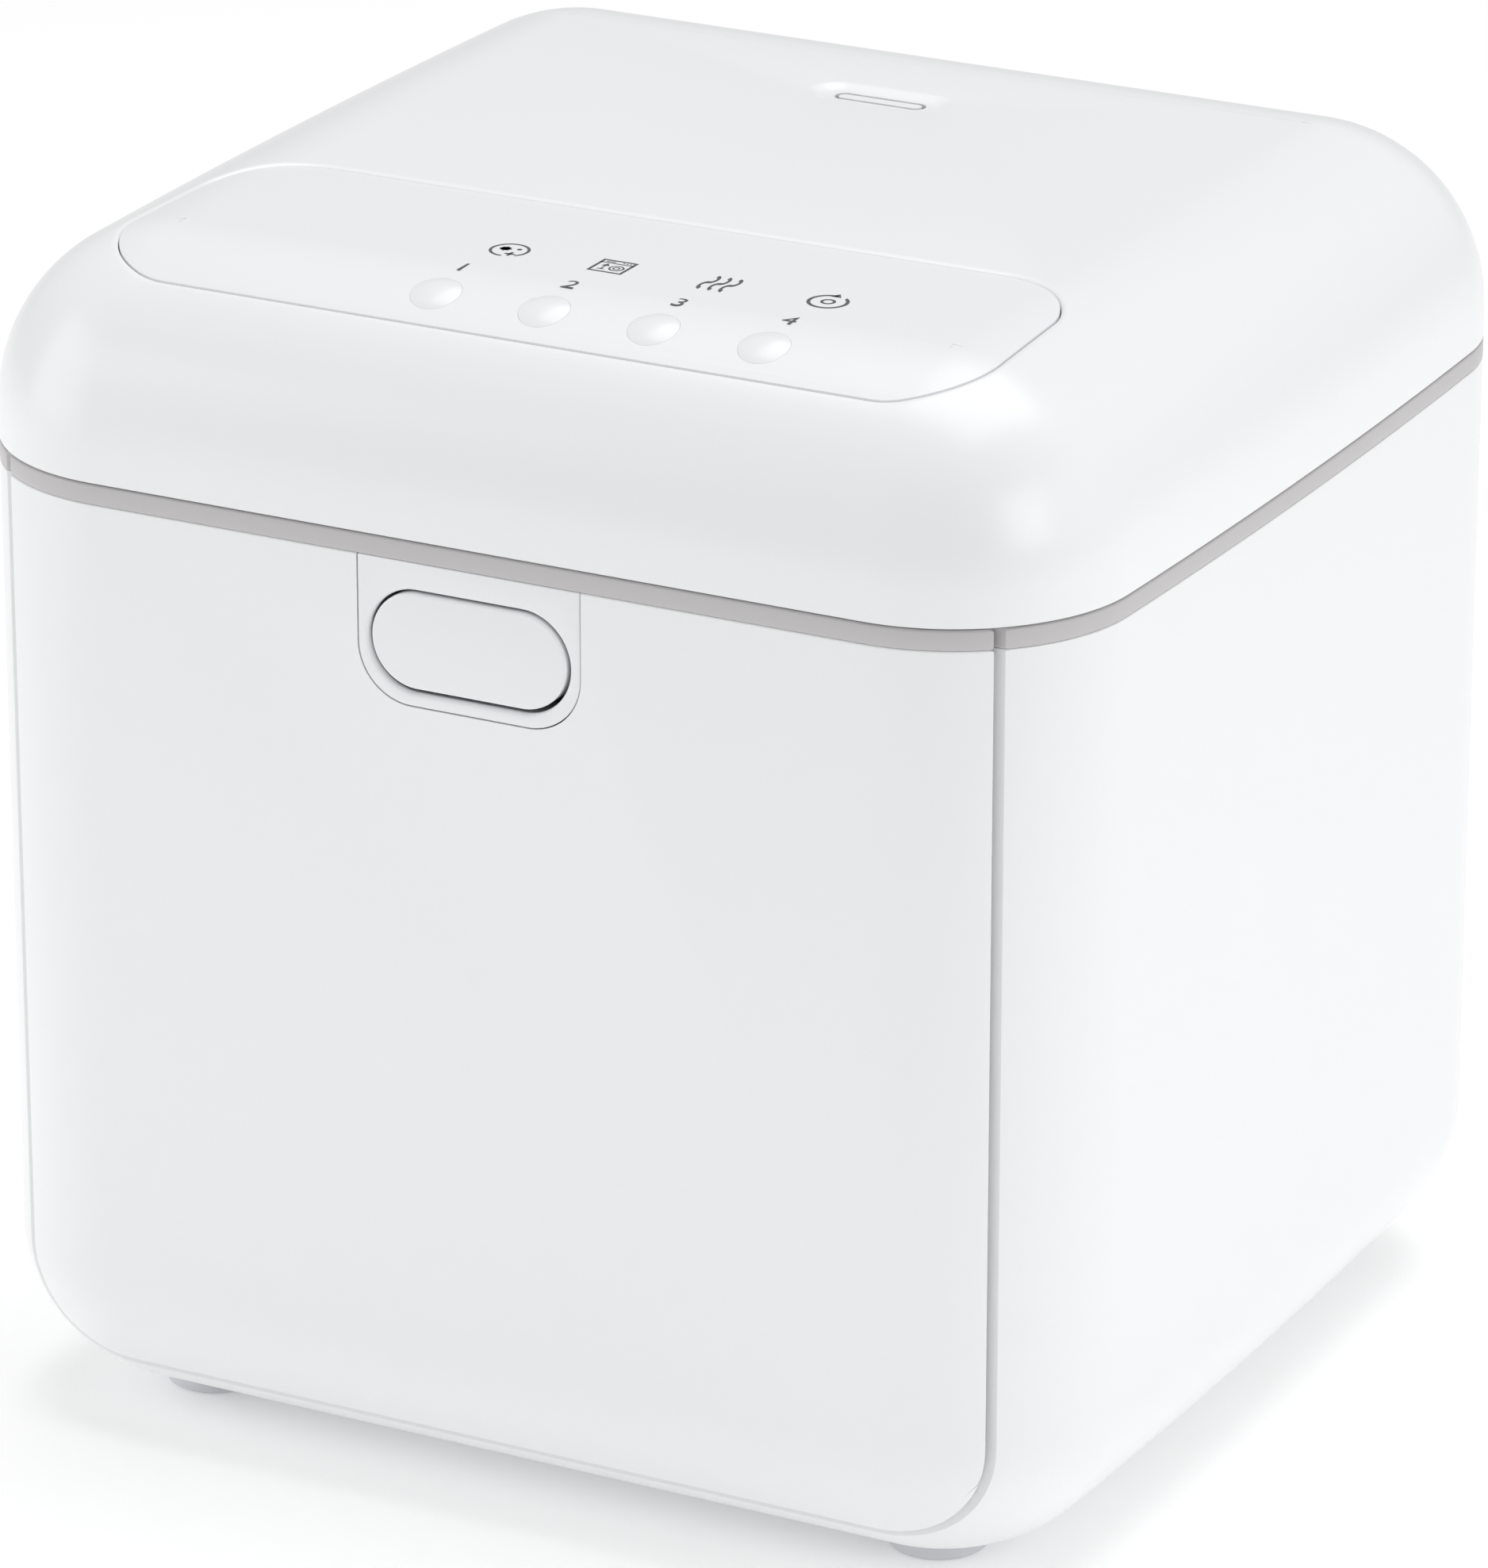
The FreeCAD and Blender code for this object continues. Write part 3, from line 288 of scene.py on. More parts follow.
# Ferrite magnet.
ferrite = moulded("sintered_ferrite", "#3A3A3D", "#303033", 0.7, 2.2, 0.4, 0.02)
# Brushed stainless steel liner of the tub, its lines from side to side.
tub_steel = brushed_metal("brushed_stainless_steel", "#C9CBCD", "#B4B6B9", 0.3, 0.5, 0)
# Spring steel of the latch, darker, with lines from rolling.
spring_steel = brushed_metal("rolled_spring_steel", "#9FA3A8", "#8A8E93", 0.3, 0.4, 2)
# Turned steel: hinge pin, motor can, striker and the inlet's pins.
pin_steel = brushed_metal("turned_steel", "#B9BBBE", "#A4A6A9", 0.25, 0.3, 0)
# Polished aluminium: the lamps' reflector and the heater's fins.
bright_aluminium = brushed_metal("polished_aluminium", "#DADCDF", "#CDD0D4", 0.15, 0.6, 0)
# Powder-coated zinc casting of the hinge.
hinge_coat = moulded("powder_coated_zinc", "#D9DADB", "#CFD0D2", 0.5, 1.5, 0.5, 0.05)
# Quartz pane under the lamps, flat and clear.
window_quartz = clear_glass("fused_quartz_window", "#F2F6FA", 0.02)
# Drawn glass of the lamp tubes, with a faint cold tint.
lamp_glass = clear_glass("lamp_tube_glass", "#E6EEF8", 0.05)


# ---- modelling helpers ----------------------------------------------------------------------------
def clear_choice():
    """Leaves edit mode, with no object selected."""
    if bpy.context.mode != "OBJECT":
        bpy.ops.object.mode_set(mode="OBJECT")
    bpy.ops.object.select_all(action="DESELECT")


def work_on(piece):
    """Makes a piece the active object, the only one selected."""
    clear_choice()
    piece.select_set(True)
    bpy.context.view_layer.objects.active = piece


def settle(piece):
    """Puts the piece's place in its mesh and its object at the origin."""
    work_on(piece)
    bpy.ops.object.transform_apply(location=True, rotation=True, scale=True)
    return piece


def block(name, low, high):
    """A cuboid between two corners in millimetres, to shape further."""
    clear_choice()
    centre = [(a + b) / 2 * MM for a, b in zip(low, high)]
    size = [(b - a) * MM for a, b in zip(low, high)]
    bpy.ops.mesh.primitive_cube_add(size=1, location=centre)
    piece = bpy.context.active_object
    piece.name = name
    piece.scale = size
    return settle(piece)


def round_bar(name, radius, low, high, place, steps=64):
    """An upright cylinder in millimetres, to shape further."""
    clear_choice()
    centre = (place[0] * MM, place[1] * MM, (low + high) / 2 * MM)
    bpy.ops.mesh.primitive_cylinder_add(radius=radius * MM, depth=(high - low) * MM, location=centre,
                                        vertices=steps)
    piece = bpy.context.active_object
    piece.name = name
    return settle(piece)


def choose(piece, kind, test):
    """Enters edit mode with those vertices, edges or faces chosen whose points in mm pass the test."""
    work_on(piece)
    mesh = piece.data
    modes = {"VERT": (True, False, False), "EDGE": (False, True, False), "FACE": (False, False, True)}
    bpy.ops.object.mode_set(mode="EDIT")
    bpy.context.tool_settings.mesh_select_mode = modes[kind]
    bpy.ops.mesh.select_all(action="DESELECT")
    bpy.ops.object.mode_set(mode="OBJECT")
    points = [v.co / MM for v in mesh.vertices]
    if kind == "VERT":
        for v in mesh.vertices:
            v.select = test(points[v.index])
    else:
        for part in (mesh.edges if kind == "EDGE" else mesh.polygons):
            part.select = test([points[k] for k in part.vertices])
    bpy.ops.object.mode_set(mode="EDIT")


def leave():
    """Ends the work that choose() began."""
    bpy.ops.object.mode_set(mode="OBJECT")


def level_rim(z):
    """Test for edges and faces that lie at one height."""
    return lambda points: all(abs(p.z - z) < 0.01 for p in points)


def round_edges(piece, test, radius, steps):
    """Rounds the edges that pass the test."""
    choose(piece, "EDGE", test)
    bpy.ops.mesh.bevel(offset_type="OFFSET", offset=radius * MM, segments=steps, profile=0.5,
                       affect="EDGES", clamp_overlap=False)
    bpy.ops.mesh.select_all(action="SELECT")
    bpy.ops.mesh.remove_doubles(threshold=0.02 * MM)
    leave()


def cut_at(piece, place, direction, clear):
    """Cuts the piece by a plane, and clears and closes its "near" or "far" side, or "neither"."""
    work_on(piece)
    bpy.ops.object.mode_set(mode="EDIT")
    bpy.ops.mesh.select_all(action="SELECT")
    bpy.ops.mesh.bisect(plane_co=[c * MM for c in place], plane_no=direction, use_fill=clear != "neither",
                        clear_inner=clear == "near", clear_outer=clear == "far")
    leave()


def merge_short(piece, y, length):
    """Merges the crowded points of a cut across Y, so that its edge can be rounded evenly."""
    choose(piece, "VERT", lambda p: abs(p.y - y) < 0.01)
    bpy.ops.mesh.remove_doubles(threshold=length * MM)
    leave()


def modify(piece, kind, settings):
    """Adds a modifier and applies it."""
    work_on(piece)
    modifier = piece.modifiers.new(kind.lower(), kind)
    for name, value in settings.items():
        setattr(modifier, name, value)
    bpy.ops.object.modifier_apply(modifier=modifier.name)


def carve(piece, tool, way="DIFFERENCE"):
    """Cuts a piece with a tool, which is used up."""
    modify(piece, "BOOLEAN", {"operation": way, "solver": "MANIFOLD", "object": tool})
    bpy.data.objects.remove(tool)


def step_in(piece, test, steps):
    """Insets the chosen face again and again, each time by a width and a rise in millimetres."""
    choose(piece, "FACE", test)
    for width, rise in steps:
        bpy.ops.mesh.inset(thickness=width * MM, depth=rise * MM, use_even_offset=True)
    leave()


def shift(piece, x=0.0, y=0.0, z=0.0, lean=0.0):
    """Moves a piece in millimetres, leaning it about X first."""
    piece.rotation_euler = (math.radians(lean), 0, 0)
    piece.location = (x * MM, y * MM, z * MM)
    return settle(piece)


def copy_of(piece, name, x=0.0, y=0.0):
    """Another piece with a mesh of its own, moved in millimetres."""
    twin = piece.copy()
    twin.data = piece.data.copy()
    twin.name = name
    bpy.context.scene.collection.objects.link(twin)
    return shift(twin, x, y)


def soften(piece, width, steps, sharper_than=50):
    """Rounds every edge that turns by more than an angle, by a width in millimetres."""
    modify(piece, "BEVEL", {"width": width * MM, "segments": steps, "limit_method": "ANGLE",
                            "angle_limit": math.radians(sharper_than), "use_clamp_overlap": False})


def join(piece, *others):
    """Makes the others part of a piece."""
    work_on(piece)
    for other in others:
        other.select_set(True)
    bpy.ops.object.join()
    return piece


def smooth(piece, degrees=32):
    """Smooth shading over edges that turn by less than an angle."""
    work_on(piece)
    bpy.ops.object.shade_smooth_by_angle(angle=math.radians(degrees))
    return piece


def make_of(piece, finish):
    """Gives a piece its finish, and no other."""
    piece.data.materials.clear()
    piece.data.materials.append(finish)
    return piece


def upright(points):
    """Test for edges that run up and down."""
    return abs(points[0].z - points[1].z) > 0.5


def along_y(points):
    """Test for edges that run from front to back."""
    return abs(points[0].y - points[1].y) > 1


def side_x(inset, y):
    """Half width of the bowed plan at a place along it, without the round corners."""
    y = min(abs(y - middle), bow_reach)
    return half_width - inset - side_bow + math.sqrt(side_bow ** 2 - y ** 2)


def upright_form(name, inset, low, high, steps=24):
    """The box's plan as an upright block: bowed sides and round corners, drawn in all round."""
    piece = block(name, (-half_width, front + inset, low), (half_width, back - inset, high))
    for k in range(-bow_cuts, bow_cuts + 1):
        cut_at(piece, (0, middle + k * bow_step, 0), (0, 1, 0), "neither")
    last = middle + bow_cuts * bow_step
    lean = (side_x(inset, last - bow_step) - side_x(inset, last)) / bow_step
    end = side_x(inset, last) - end_lean * lean * (back - inset - last)
    for v in piece.data.vertices:
        y = v.co.y / MM
        reach = end if abs(y - middle) > bow_reach else side_x(inset, y)
        v.co.x = math.copysign(reach * MM, v.co.x)
    round_edges(piece, lambda p: upright(p) and min(abs(q.y - middle) for q in p) > bow_reach,
                (corner - inset) * corner_share, steps)
    for z in (low, high):
        choose(piece, "FACE", level_rim(z))
        bpy.ops.mesh.dissolve_faces()
        leave()
    return piece


def body_form(name, inset, high, steps=20):
    """The body's outside, or its inside where drawn in, with a rolled lower edge."""
    piece = upright_form(name, inset, shell_bottom + inset, high)
    round_edges(piece, level_rim(shell_bottom + inset), base_round - inset, steps)
    return piece


def lid_form(name, inset, low, steps=24):
    """The lid's outside, or its inside where drawn in, with a rolled shoulder."""
    piece = upright_form(name, inset, low, lid_top - inset)
    round_edges(piece, level_rim(lid_top - inset), corner - inset - 0.01, steps)
    return piece


# ---- casing, front cover and trim ring ------------------------------------------------------------
def outer_casing():
    """The casing with its holes, and the floor of the groove in front of it in a grey that paints the
    groove's shade.
    """
    casing = body_form("casing", 0, ring_bottom)
    cut_at(casing, (0, groove_back, 0), (0, 1, 0), "near")
    carve(casing, body_form("casing_hollow", casing_wall, ring_bottom + past))
    merge_short(casing, groove_back, 0.5)
    soften(casing, casing_edge, 3)
    carve(casing, block("inlet_hole", (inlet_low[0], back - casing_wall - past, inlet_low[1]),
                        (inlet_high[0], back + past, inlet_high[1])))
    base_hole = block("base_hole", (-base_hole_half_x, middle - base_hole_half_y, 0),
                      (base_hole_half_x, middle + base_hole_half_y, shell_bottom + casing_wall + past))
    round_edges(base_hole, upright, base_hole_corner, 8)
    carve(casing, base_hole)
    band = body_form("groove_floor", groove_depth, ring_bottom - 0.02)
    cut_at(band, (0, seam - lap_front, 0), (0, 1, 0), "near")
    cut_at(band, (0, groove_back + lap_back, 0), (0, 1, 0), "far")
    carve(band, body_form("band_hollow", groove_depth + groove_floor_wall, ring_bottom + past))
    make_of(casing, white_abs)
    # The groove floor's grey is painted shade of the recess, not a grey plastic.
    join(casing, make_of(band, groove_shade_abs))
    smooth(casing)
    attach(casing, "housing")
    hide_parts("body_shell")


def bezel_block(name, grow, near, far):
    """The U-shaped outline round the release button, as a block along Y."""
    piece = block(name, (-bezel_half - grow, near, bezel_low - grow),
                  (bezel_half + grow, far, ring_bottom))
    round_edges(piece, lambda p: along_y(p) and max(q.z for q in p) < bezel_low + 1,
                bezel_corner + grow, 16)
    return piece


def oblong_block(name, grow, near, far):
    """The release button's outline as a block along Y."""
    half_height = button_half_height + grow
    piece = block(name, (-button_half_length - grow, near, button_middle - half_height),
                  (button_half_length + grow, far, button_middle + half_height))
    round_edges(piece, along_y, half_height - 0.005, 32)
    return piece


def front_cover():
    """The front cover, with the hole for the bezel in its upper edge."""
    cover = body_form("front_cover", 0, ring_bottom)
    cut_at(cover, (0, seam, 0), (0, 1, 0), "far")
    carve(cover, body_form("cover_hollow", cover_wall, ring_bottom + past))
    merge_short(cover, seam, 0.5)
    soften(cover, cover_edge, 4)
    carve(cover, bezel_block("bezel_hole", bezel_gap, front - past, front + cover_wall + past))
    smooth(cover)
    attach(make_of(cover, white_abs), "housing")
    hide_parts("front_panel")


def trim_ring():
    """The grey ring under the lid, with a nick at each side where the groove runs out."""
    ring = upright_form("trim_band", 0, ring_bottom, ring_top)
    carve(ring, upright_form("ring_opening", ring_width, ring_bottom - past, ring_top + past))
    nick = block("nick", (-half_width - past, seam, ring_bottom - past),
                 (half_width + past, groove_back, ring_top + past))
    carve(nick, upright_form("nick_core", groove_depth, ring_bottom - 2 * past, ring_top + 2 * past))
    carve(ring, nick)
    soften(ring, ring_edge, 3)
    smooth(ring)
    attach(make_of(ring, trim_abs), "housing")
    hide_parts("trim_ring")


def on_hole_rim(points):
    """Test for edges of the button's hole in the bezel's front face."""
    reach = button_half_height + button_gap + 0.05
    straight = button_half_length - button_half_height
    out = [math.hypot(max(abs(p.x) - straight, 0), p.z - button_middle) for p in points]
    return all(p.y < front + 0.01 for p in points) and all(d < reach for d in out)


def release_bezel():
    """The bezel: a plate whose hole has a rounded rim, and a sleeve behind it round the button."""
    plate = bezel_block("bezel_plate", 0, front, front + bezel_wall)
    soften(plate, bezel_edge, 3)
    rear = front + bezel_wall + past
    carve(plate, oblong_block("button_hole", button_gap, front - past, rear))
    round_edges(plate, on_hole_rim, rim_round, 5)
    wide = button_gap + sleeve_gap
    carve(plate, oblong_block("gap_behind_rim", wide, front + bezel_lip, rear))
    sleeve = oblong_block("sleeve", wide + sleeve_wall, front + sleeve_start, front + sleeve_end)
    carve(sleeve, oblong_block("sleeve_hole", wide, front + sleeve_start - past,
                               front + sleeve_end + past))
    join(plate, sleeve)
    smooth(plate)
    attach(make_of(plate, panel_abs), "housing")
    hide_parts("release_bezel")


def release_button():
    """The release button's cap, its front edge rounded."""
    face = front - button_proud
    cap = oblong_block("release_cap", 0, face, front + button_depth)
    round_edges(cap, lambda p: all(abs(q.y - face) < 0.01 for q in p), button_edge, 4)
    shift(cap, z=button_rise)
    smooth(cap)
    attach(make_of(cap, button_abs), "release_button")
    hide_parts("release_button")


# ---- lid ------------------------------------------------------------------------------------------
def panel_outline(name, grow, low, high):
    """The control panel's outline as an upright block: wider at the front, with round corners."""
    near = panel_front - grow
    far = panel_back + grow
    piece = block(name, (-1, near, low), (1, far, high))
    for v in piece.data.vertices:
        half = panel_half_front if v.co.y / MM < (near + far) / 2 else panel_half_back
        v.co.x = math.copysign((half + grow) * MM, v.co.x)
    round_edges(piece, upright, panel_corner + grow, 24)
    return piece


def panel_mouth():
    """What the lid loses to the control panel: a rolled edge that follows the skin, then a wall."""
    mouth = panel_outline("panel_mouth", panel_roll, mouth_low, mouth_high)
    on_rim = level_rim(mouth_low)
    choose(mouth, "EDGE", lambda p: on_rim(p) and (p[0] - p[1]).length > 10)
    bpy.ops.mesh.subdivide(number_cuts=mouth_cuts)
    leave()
    rim = [v.index for v in mouth.data.vertices if on_rim([v.co / MM])]
    angles = [math.radians(a) for a in (0, 15, 30, 45, 60, 75, 90)]
    widths = [panel_roll * (1 - math.sin(a)) for a in angles]
    drops = [0.03 - panel_roll_drop * (1 - math.cos(a)) for a in angles] + [-mouth_depth]
    steps = [(near - far, 0) for near, far in zip(widths, widths[1:])] + [(0.01, 0)]
    before = len(mouth.data.vertices)
    step_in(mouth, on_rim, steps)
    # An inset moves the face's own points inward, so those end up innermost.
    rings = [range(before + k * len(rim), before + (k + 1) * len(rim)) for k in range(len(steps))]
    rings.append(rim)
    skin = lid_form("skin", 0, lid_bottom)
    group = mouth.vertex_groups.new(name="mouth")
    group.add([k for ring in rings for k in ring], 1.0, "REPLACE")
    modify(mouth, "SHRINKWRAP", {"target": skin, "wrap_method": "PROJECT", "use_project_z": True,
                                 "use_positive_direction": True, "use_negative_direction": True,
                                 "vertex_group": "mouth"})
    bpy.data.objects.remove(skin)
    for ring, drop in zip(rings, drops):
        for k in ring:
            mouth.data.vertices[k].co.z += drop * MM
    return mouth


def stadium(name, half_length, half_width, low, high, steps=24):
    """A round-ended slot's outline, lying along X at the vent, as an upright block."""
    piece = block(name, (-half_length, vent_y - half_width, low),
                  (half_length, vent_y + half_width, high))
    round_edges(piece, upright, half_width - 0.005, steps)
    return piece


def vent_in(lid):
    """The outlet: a soft dish, and in it a slot that runs round a tongue held from below."""
    start = lid_top + 0.03
    dish = stadium("vent_dish", vent_half_length, vent_half_width, start, start + past)
    fall = [vent_dip * math.sin(math.radians(a)) ** 2 for a in range(0, 91, 10)]
    step_in(dish, level_rim(start), [(0.5, low - high) for high, low in zip(fall, fall[1:])])
    carve(lid, dish)
    inside = lid_top - lid_wall - past
    loop = stadium("vent_slot", slot_half_length, slot_half_width, inside, lid_top + past)
    carve(loop, stadium("vent_tongue", slot_half_length - slot_half_width + tongue_half_width,
                        tongue_half_width, inside - past, lid_top + 2 * past))
    across = slot_half_width + past
    for x in rib_places:
        carve(loop, block("tongue_rib", (x - rib_half, vent_y - across, inside - past),
                          (x + rib_half, vent_y + across, lid_top - rib_drop)))
    carve(lid, loop)


def lid_cover():
    """The lid's shell with the control panel's mouth and the outlet."""
    lid = lid_form("lid_shell", 0, lid_bottom)
    carve(lid, lid_form("lid_hollow", lid_wall, lid_bottom - past))
    carve(lid, panel_mouth())
    vent_in(lid)
    smooth(lid)
    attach(make_of(lid, white_abs), "lid")
    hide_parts("lid_cover")


def control_panel():
    """The plate that lies in the mouth and follows the lid's skin, with a hole for each button."""
    plate = lid_form("panel_plate", panel_recess, lid_bottom)
    carve(plate, panel_outline("panel_edge", -panel_gap, lid_bottom - past, lid_top + past), "INTERSECT")
    carve(plate, lid_form("panel_underside", panel_recess + panel_wall, lid_bottom - past))
    for x in mode_places:
        hole = round_bar("mode_hole", mode_radius + mode_gap, -mode_reach, mode_reach, (0, 0), 48)
        carve(plate, shift(hole, x, mode_y, mode_top, mode_lean))
    smooth(plate)
    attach(make_of(plate, panel_abs), "lid")
    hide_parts("control_panel")


def mode_buttons():
    """Four soft domes that stand in the panel, each on a stem of its own."""
    radii = [mode_radius * k / mode_rings for k in range(mode_rings, 0, -1)]
    rings = [(r, mode_rise * (1 - (r / mode_radius) ** 2.2)) for r in radii]
    first = round_bar("mode_cap_1", mode_radius, -mode_depth, -panel_recess, (0, 0), 48)
    step_in(first, level_rim(-panel_recess),
            [(near[0] - far[0], far[1] - near[1]) for near, far in zip(rings, rings[1:])])
    # Its rim follows the curve of the lid's shoulder.
    for v in first.data.vertices:
        v.co.z -= v.co.y ** 2 / (2 * (corner - panel_recess) * MM)
    smooth(shift(first, mode_places[0], mode_y, mode_top, mode_lean), 50)
    make_of(first, button_abs)
    for k, x in enumerate(mode_places, 1):
        dome = first if k == 1 else copy_of(first, "mode_cap_%d" % k, x - mode_places[0])
        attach(dome, "mode_button_%d" % k)
        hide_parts("mode_button_%d" % k)


# ---- printed signs --------------------------------------------------------------------------------
def bar(x, y, half_x, half_y):
    """A printed rectangle."""
    return block("sign", (x - half_x, y - half_y, ink_low), (x + half_x, y + half_y, ink_high))


def disc(x, y, radius, steps=32):
    """A printed dot, or a polygon where it has few steps."""
    return round_bar("sign", radius, ink_low, ink_high, (x, y), steps)


def hoop(x, y, radius, line=icon_line):
    """A printed circle line."""
    ring = disc(x, y, radius + line / 2, 64)
    carve(ring, round_bar("hole", radius - line / 2, ink_low - past, ink_high + past, (x, y), 64))
    return ring


def cleared(sign, low, high):
    """A sign without what lies between two corners."""
    carve(sign, block("gap", (low[0], low[1], ink_low - past), (high[0], high[1], ink_high + past)))
    return sign


def wave(x):
    """One strand of rising heat: two half rings end to end."""
    bend = icon_half / 2
    line = 2.2 * icon_line
    reach = 2 * icon_half
    lower = cleared(hoop(0, icon_y - bend, bend, line), (0, icon_y - reach), (reach, icon_y + reach))
    upper = cleared(hoop(0, icon_y + bend, bend, line), (-reach, icon_y - reach), (0, icon_y + reach))
    for half in (lower, upper):
        half.scale.x = wave_squeeze
        shift(half, x)
    return [lower, upper]


def germ_sign(x):
    """A dish with dots and a cross, for disinfecting."""
    dish = cleared(hoop(x, icon_y, icon_half), (x + 0.2, icon_y - 2 * icon_half), (x + 3.2, icon_y - 1))
    signs = [dish, disc(x - 1.4, icon_y + 0.6, 1.7, 4), bar(x - 1.4, icon_y + 0.6, 1.15, 1.15)]
    return signs + [disc(x + 1.9, icon_y + 1.4, 0.65), bar(x + 1.5, icon_y - 2.6, 1.4, 0.4),
                    bar(x + 1.5, icon_y - 2.6, 0.4, 1.4)]


def store_sign(x):
    """A cabinet with a cup and a plate, for storing."""
    case = cleared(bar(x, icon_y, icon_half, icon_half),
                   (x - icon_half + icon_line, icon_y - icon_half + icon_line),
                   (x + icon_half - icon_line, icon_y + icon_half - icon_line))
    signs = [case, bar(x, icon_y + 2.3, icon_half - 0.1, 0.25), bar(x - 2.0, icon_y + 3.2, 1.2, 0.25)]
    signs += [disc(x + k, icon_y + 3.2, 0.28, 12) for k in (1.4, 2.3, 3.2)]
    signs += [disc(x - 1.9, icon_y + 0.5, 1.25, 3), bar(x - 1.9, icon_y - 1.2, 0.22, 1.2),
              bar(x - 1.9, icon_y - 2.5, 0.9, 0.25)]
    return signs + [hoop(x + 1.5, icon_y - 0.9, 1.7, 0.5), hoop(x + 1.5, icon_y - 0.9, 0.75, 0.4)]


def turn_sign(x):
    """A turning arrow round a small circle, for the whole cycle."""
    ring = cleared(hoop(x, icon_y, icon_half, icon_line * 1.2),
                   (x + 0.3, icon_y + 2.5), (x + 2.8, icon_y + 2 * icon_half))
    return [ring, hoop(x, icon_y, 1.5), disc(x + 0.1, icon_y + icon_half, 1.6, 3)]


def printed_signs():
    """What each mode button does, as line signs, with a number for each in front."""
    strand = wave(mode_places[2] + 1.8)
    signs = germ_sign(mode_places[0] + 3.4) + store_sign(mode_places[1] + 2.2)
    signs += strand + [copy_of(half, "sign", step) for step in (-2.9, 2.9) for half in strand]
    signs += turn_sign(mode_places[3] + 1.4)
    for k, x in enumerate(mode_places, 1):
        clear_choice()
        bpy.ops.object.text_add(location=(x * MM, number_y * MM, (ink_high - number_ink) * MM))
        number = bpy.context.active_object
        number.data.body = str(k)
        number.data.size = number_height * font_size * MM
        number.data.align_x = "CENTER"
        number.data.align_y = "CENTER"
        number.data.extrude = number_ink * MM
        bpy.ops.object.convert(target="MESH")
        signs.append(settle(bpy.context.active_object))
    sheet = join(signs[0], *signs[1:])
    sheet.name = "printed_signs"
    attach(make_of(sheet, panel_ink), "lid")


# ---- feet -----------------------------------------------------------------------------------------
def feet():
    """Four rubber feet, a round pad each with a step where it meets the base."""
    foot = round_bar("foot_pads", foot_radius, 0, foot_ledge, (foot_x, middle + foot_y), 64)
    round_edges(foot, level_rim(0), foot_edge, 5)
    step_in(foot, level_rim(foot_ledge), ((0.3, 0), (0.25, -0.15), (0.15, 0), (0.15, 0.25)))
    choose(foot, "FACE", level_rim(foot_ledge + 0.1))
    bpy.ops.transform.translate(value=(0, 0, foot_neck * MM))
    leave()
    smooth(foot)
    others = [copy_of(foot, "foot", dx, dy) for dx, dy in ((-2 * foot_x, 0), (0, -2 * foot_y),
                                                           (-2 * foot_x, -2 * foot_y))]
    join(foot, *others)
    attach(make_of(foot, foot_rubber), "housing")
    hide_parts("feet")


# ---- carried-over parts ---------------------------------------------------------------------------
kept = {
    "latch_spring": spring_steel, "top_frame": inner_pp, "inner_tub": tub_steel, "base_cover": inner_pp,
    "hinge_bracket": hinge_coat, "hinge_pin": pin_steel, "hinge_arm": hinge_coat,
    "blower_housing": dark_nylon, "blower_motor": pin_steel, "blower_impeller": dark_nylon,
    "air_duct": inner_pp, "ptc_heater": bright_aluminium, "power_board": board_lacquer,
    "power_inlet": dark_nylon, "inlet_pins": pin_steel, "lid_sensor": dark_nylon,
    "control_board": board_lacquer, "lid_liner": inner_pp, "lid_seal": seal_silicone,
    "lamp_window": window_quartz, "uv_lamps": lamp_glass, "lamp_sockets": dark_nylon,
    "lamp_reflector": bright_aluminium, "striker": pin_steel, "lid_magnet": ferrite,
    "basket": basket_pp, "chopstick_tray": basket_pp,
}
edge_width = {
    "top_frame": 0.38, "inner_tub": 0.3, "base_cover": 0.5, "hinge_bracket": 0.6, "hinge_pin": 0.4,
    "hinge_arm": 0.6, "power_inlet": 0.5, "inlet_pins": 0.3, "lid_liner": 0.4, "lid_seal": 0.7,
    "lamp_window": 0.3, "uv_lamps": 0.8, "basket": 0.35, "chopstick_tray": 0.35, "striker": 0.2,
}


def merged_copy(node, name):
    """A node's mesh as a piece of its own, its triangles merged and its flats made whole."""
    piece = bpy.data.objects.new(name, frame["nodes"][node].data.copy())
    bpy.context.scene.collection.objects.link(piece)
    work_on(piece)
    bpy.ops.object.mode_set(mode="EDIT")
    bpy.ops.mesh.select_all(action="SELECT")
    bpy.ops.mesh.remove_doubles(threshold=0.001 * MM)
    bpy.ops.mesh.dissolve_limited(angle_limit=math.radians(0.5))
    leave()
    return piece


def dress_kept_parts():
    """Each part that keeps its shape gets its finish, and those that show get softened edges."""
    for node, finish in kept.items():
        make_of(frame["nodes"][node], finish)
    for node, width in edge_width.items():
        piece = merged_copy(node, node + "_soft")
        modify(piece, "BEVEL", {"width": width * MM, "segments": 3, "limit_method": "ANGLE",
                                "angle_limit": math.radians(40), "use_clamp_overlap": True})
        smooth(piece)
        make_of(piece, kept[node])
        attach(piece, frame["nodes"][node]["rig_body"])
        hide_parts(node)


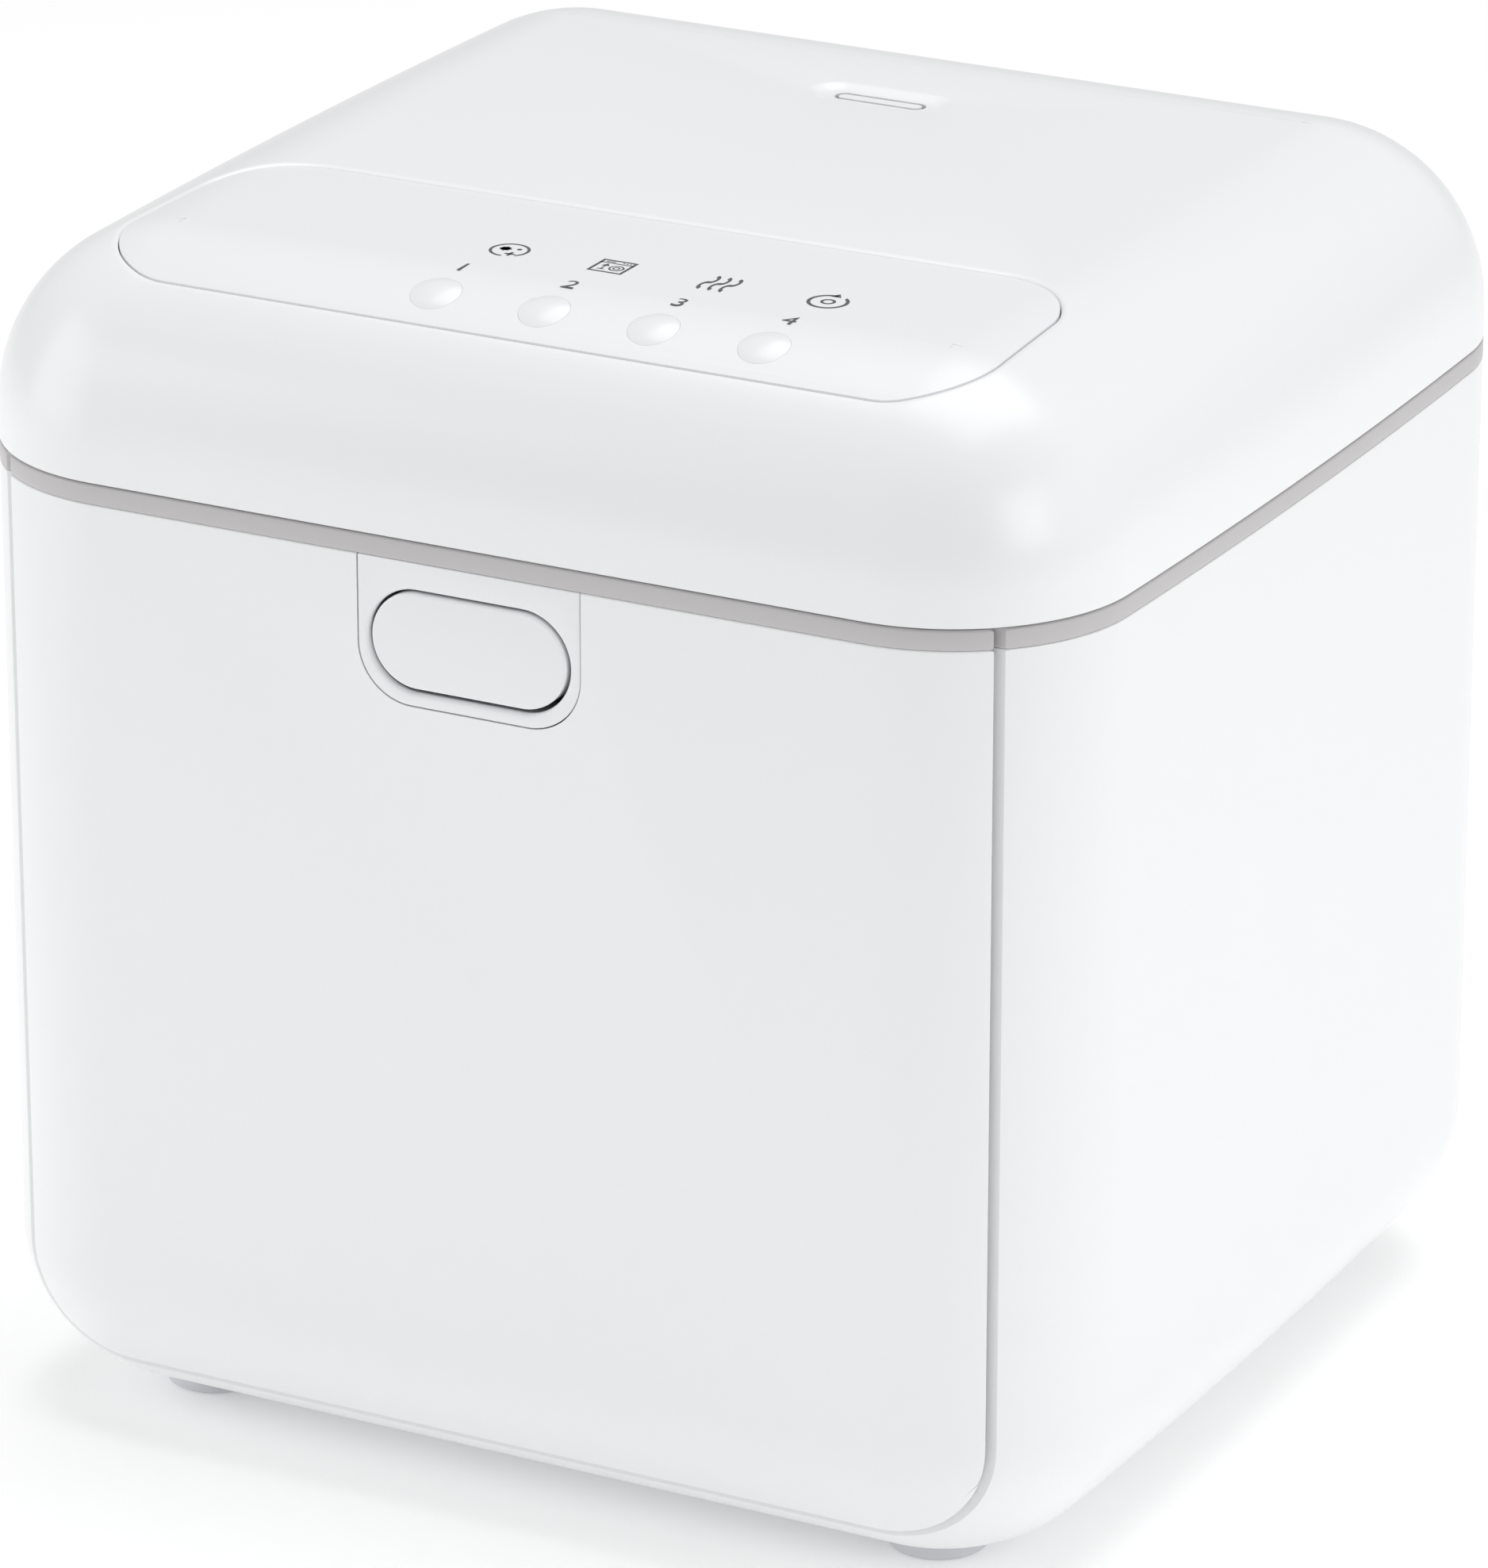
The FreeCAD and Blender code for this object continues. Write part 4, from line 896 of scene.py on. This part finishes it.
# ---- studio ---------------------------------------------------------------------------------------
def studio():
    """A white floor, four soft lamps, an even surround and the camera."""
    clear_choice()
    bpy.ops.mesh.primitive_plane_add(size=12, location=(0, 0, -0.0002))
    floor = bpy.context.active_object
    floor.name = "floor"
    paper, tree = blank_finish("white_background_paper")
    shader = add(tree, "ShaderNodeBsdfPrincipled",
                 {"Base Color": colour("#FFFFFF"), "Roughness": 0.9, "Emission Color": colour("#FFFFFF"),
                  "Emission Strength": 0.17})
    add(tree, "ShaderNodeOutputMaterial", {}, {"Surface": shader.outputs["BSDF"]})
    make_of(settle(floor), paper)

    lamps = (
        ("key_right", (2.2, 0.6, 0.9), (0.0, 0.0, 0.15), 1.2, 2.6),
        ("right_front", (1.5, -0.5, 0.8), (0.0, 0.0, 0.15), 0.8, 5.7),
        ("front_left", (-2.0, -1.4, 0.9), (0.0, -0.1, 0.15), 1.8, 20.0),
        ("overhead", (0.1, 0.5, 2.4), (0.0, 0.0, 0.2), 2.0, 34.0),
    )
    for name, place, target, size, power in lamps:
        light = bpy.data.lights.new(name, "AREA")
        light.shape = "SQUARE"
        light.size = size
        light.energy = power
        lamp = bpy.data.objects.new(name, light)
        bpy.context.scene.collection.objects.link(lamp)
        lamp.location = place
        lamp.rotation_euler = (Vector(target) - Vector(place)).to_track_quat("-Z", "Y").to_euler()

    world = bpy.data.worlds.new("studio")
    world.use_nodes = True
    bpy.context.scene.world = world
    world.node_tree.nodes["Background"].inputs["Color"].default_value = (1.0, 1.0, 1.0, 1.0)
    world.node_tree.nodes["Background"].inputs["Strength"].default_value = 0.35
    bpy.context.scene.view_settings.view_transform = "Standard"

    lens = bpy.data.cameras.new("camera")
    lens.lens = 203.4
    lens.sensor_width = 36.0
    lens.clip_end = 50.0
    camera = bpy.data.objects.new("camera", lens)
    bpy.context.scene.collection.objects.link(camera)
    camera.location = (0.9528, -1.8290, 0.9417)
    camera.rotation_euler = (math.radians(68.79), 0.0, math.radians(27.66))
    bpy.context.scene.camera = camera


outer_casing()
front_cover()
trim_ring()
release_bezel()
release_button()
lid_cover()
control_panel()
mode_buttons()
printed_signs()
feet()
dress_kept_parts()
studio()
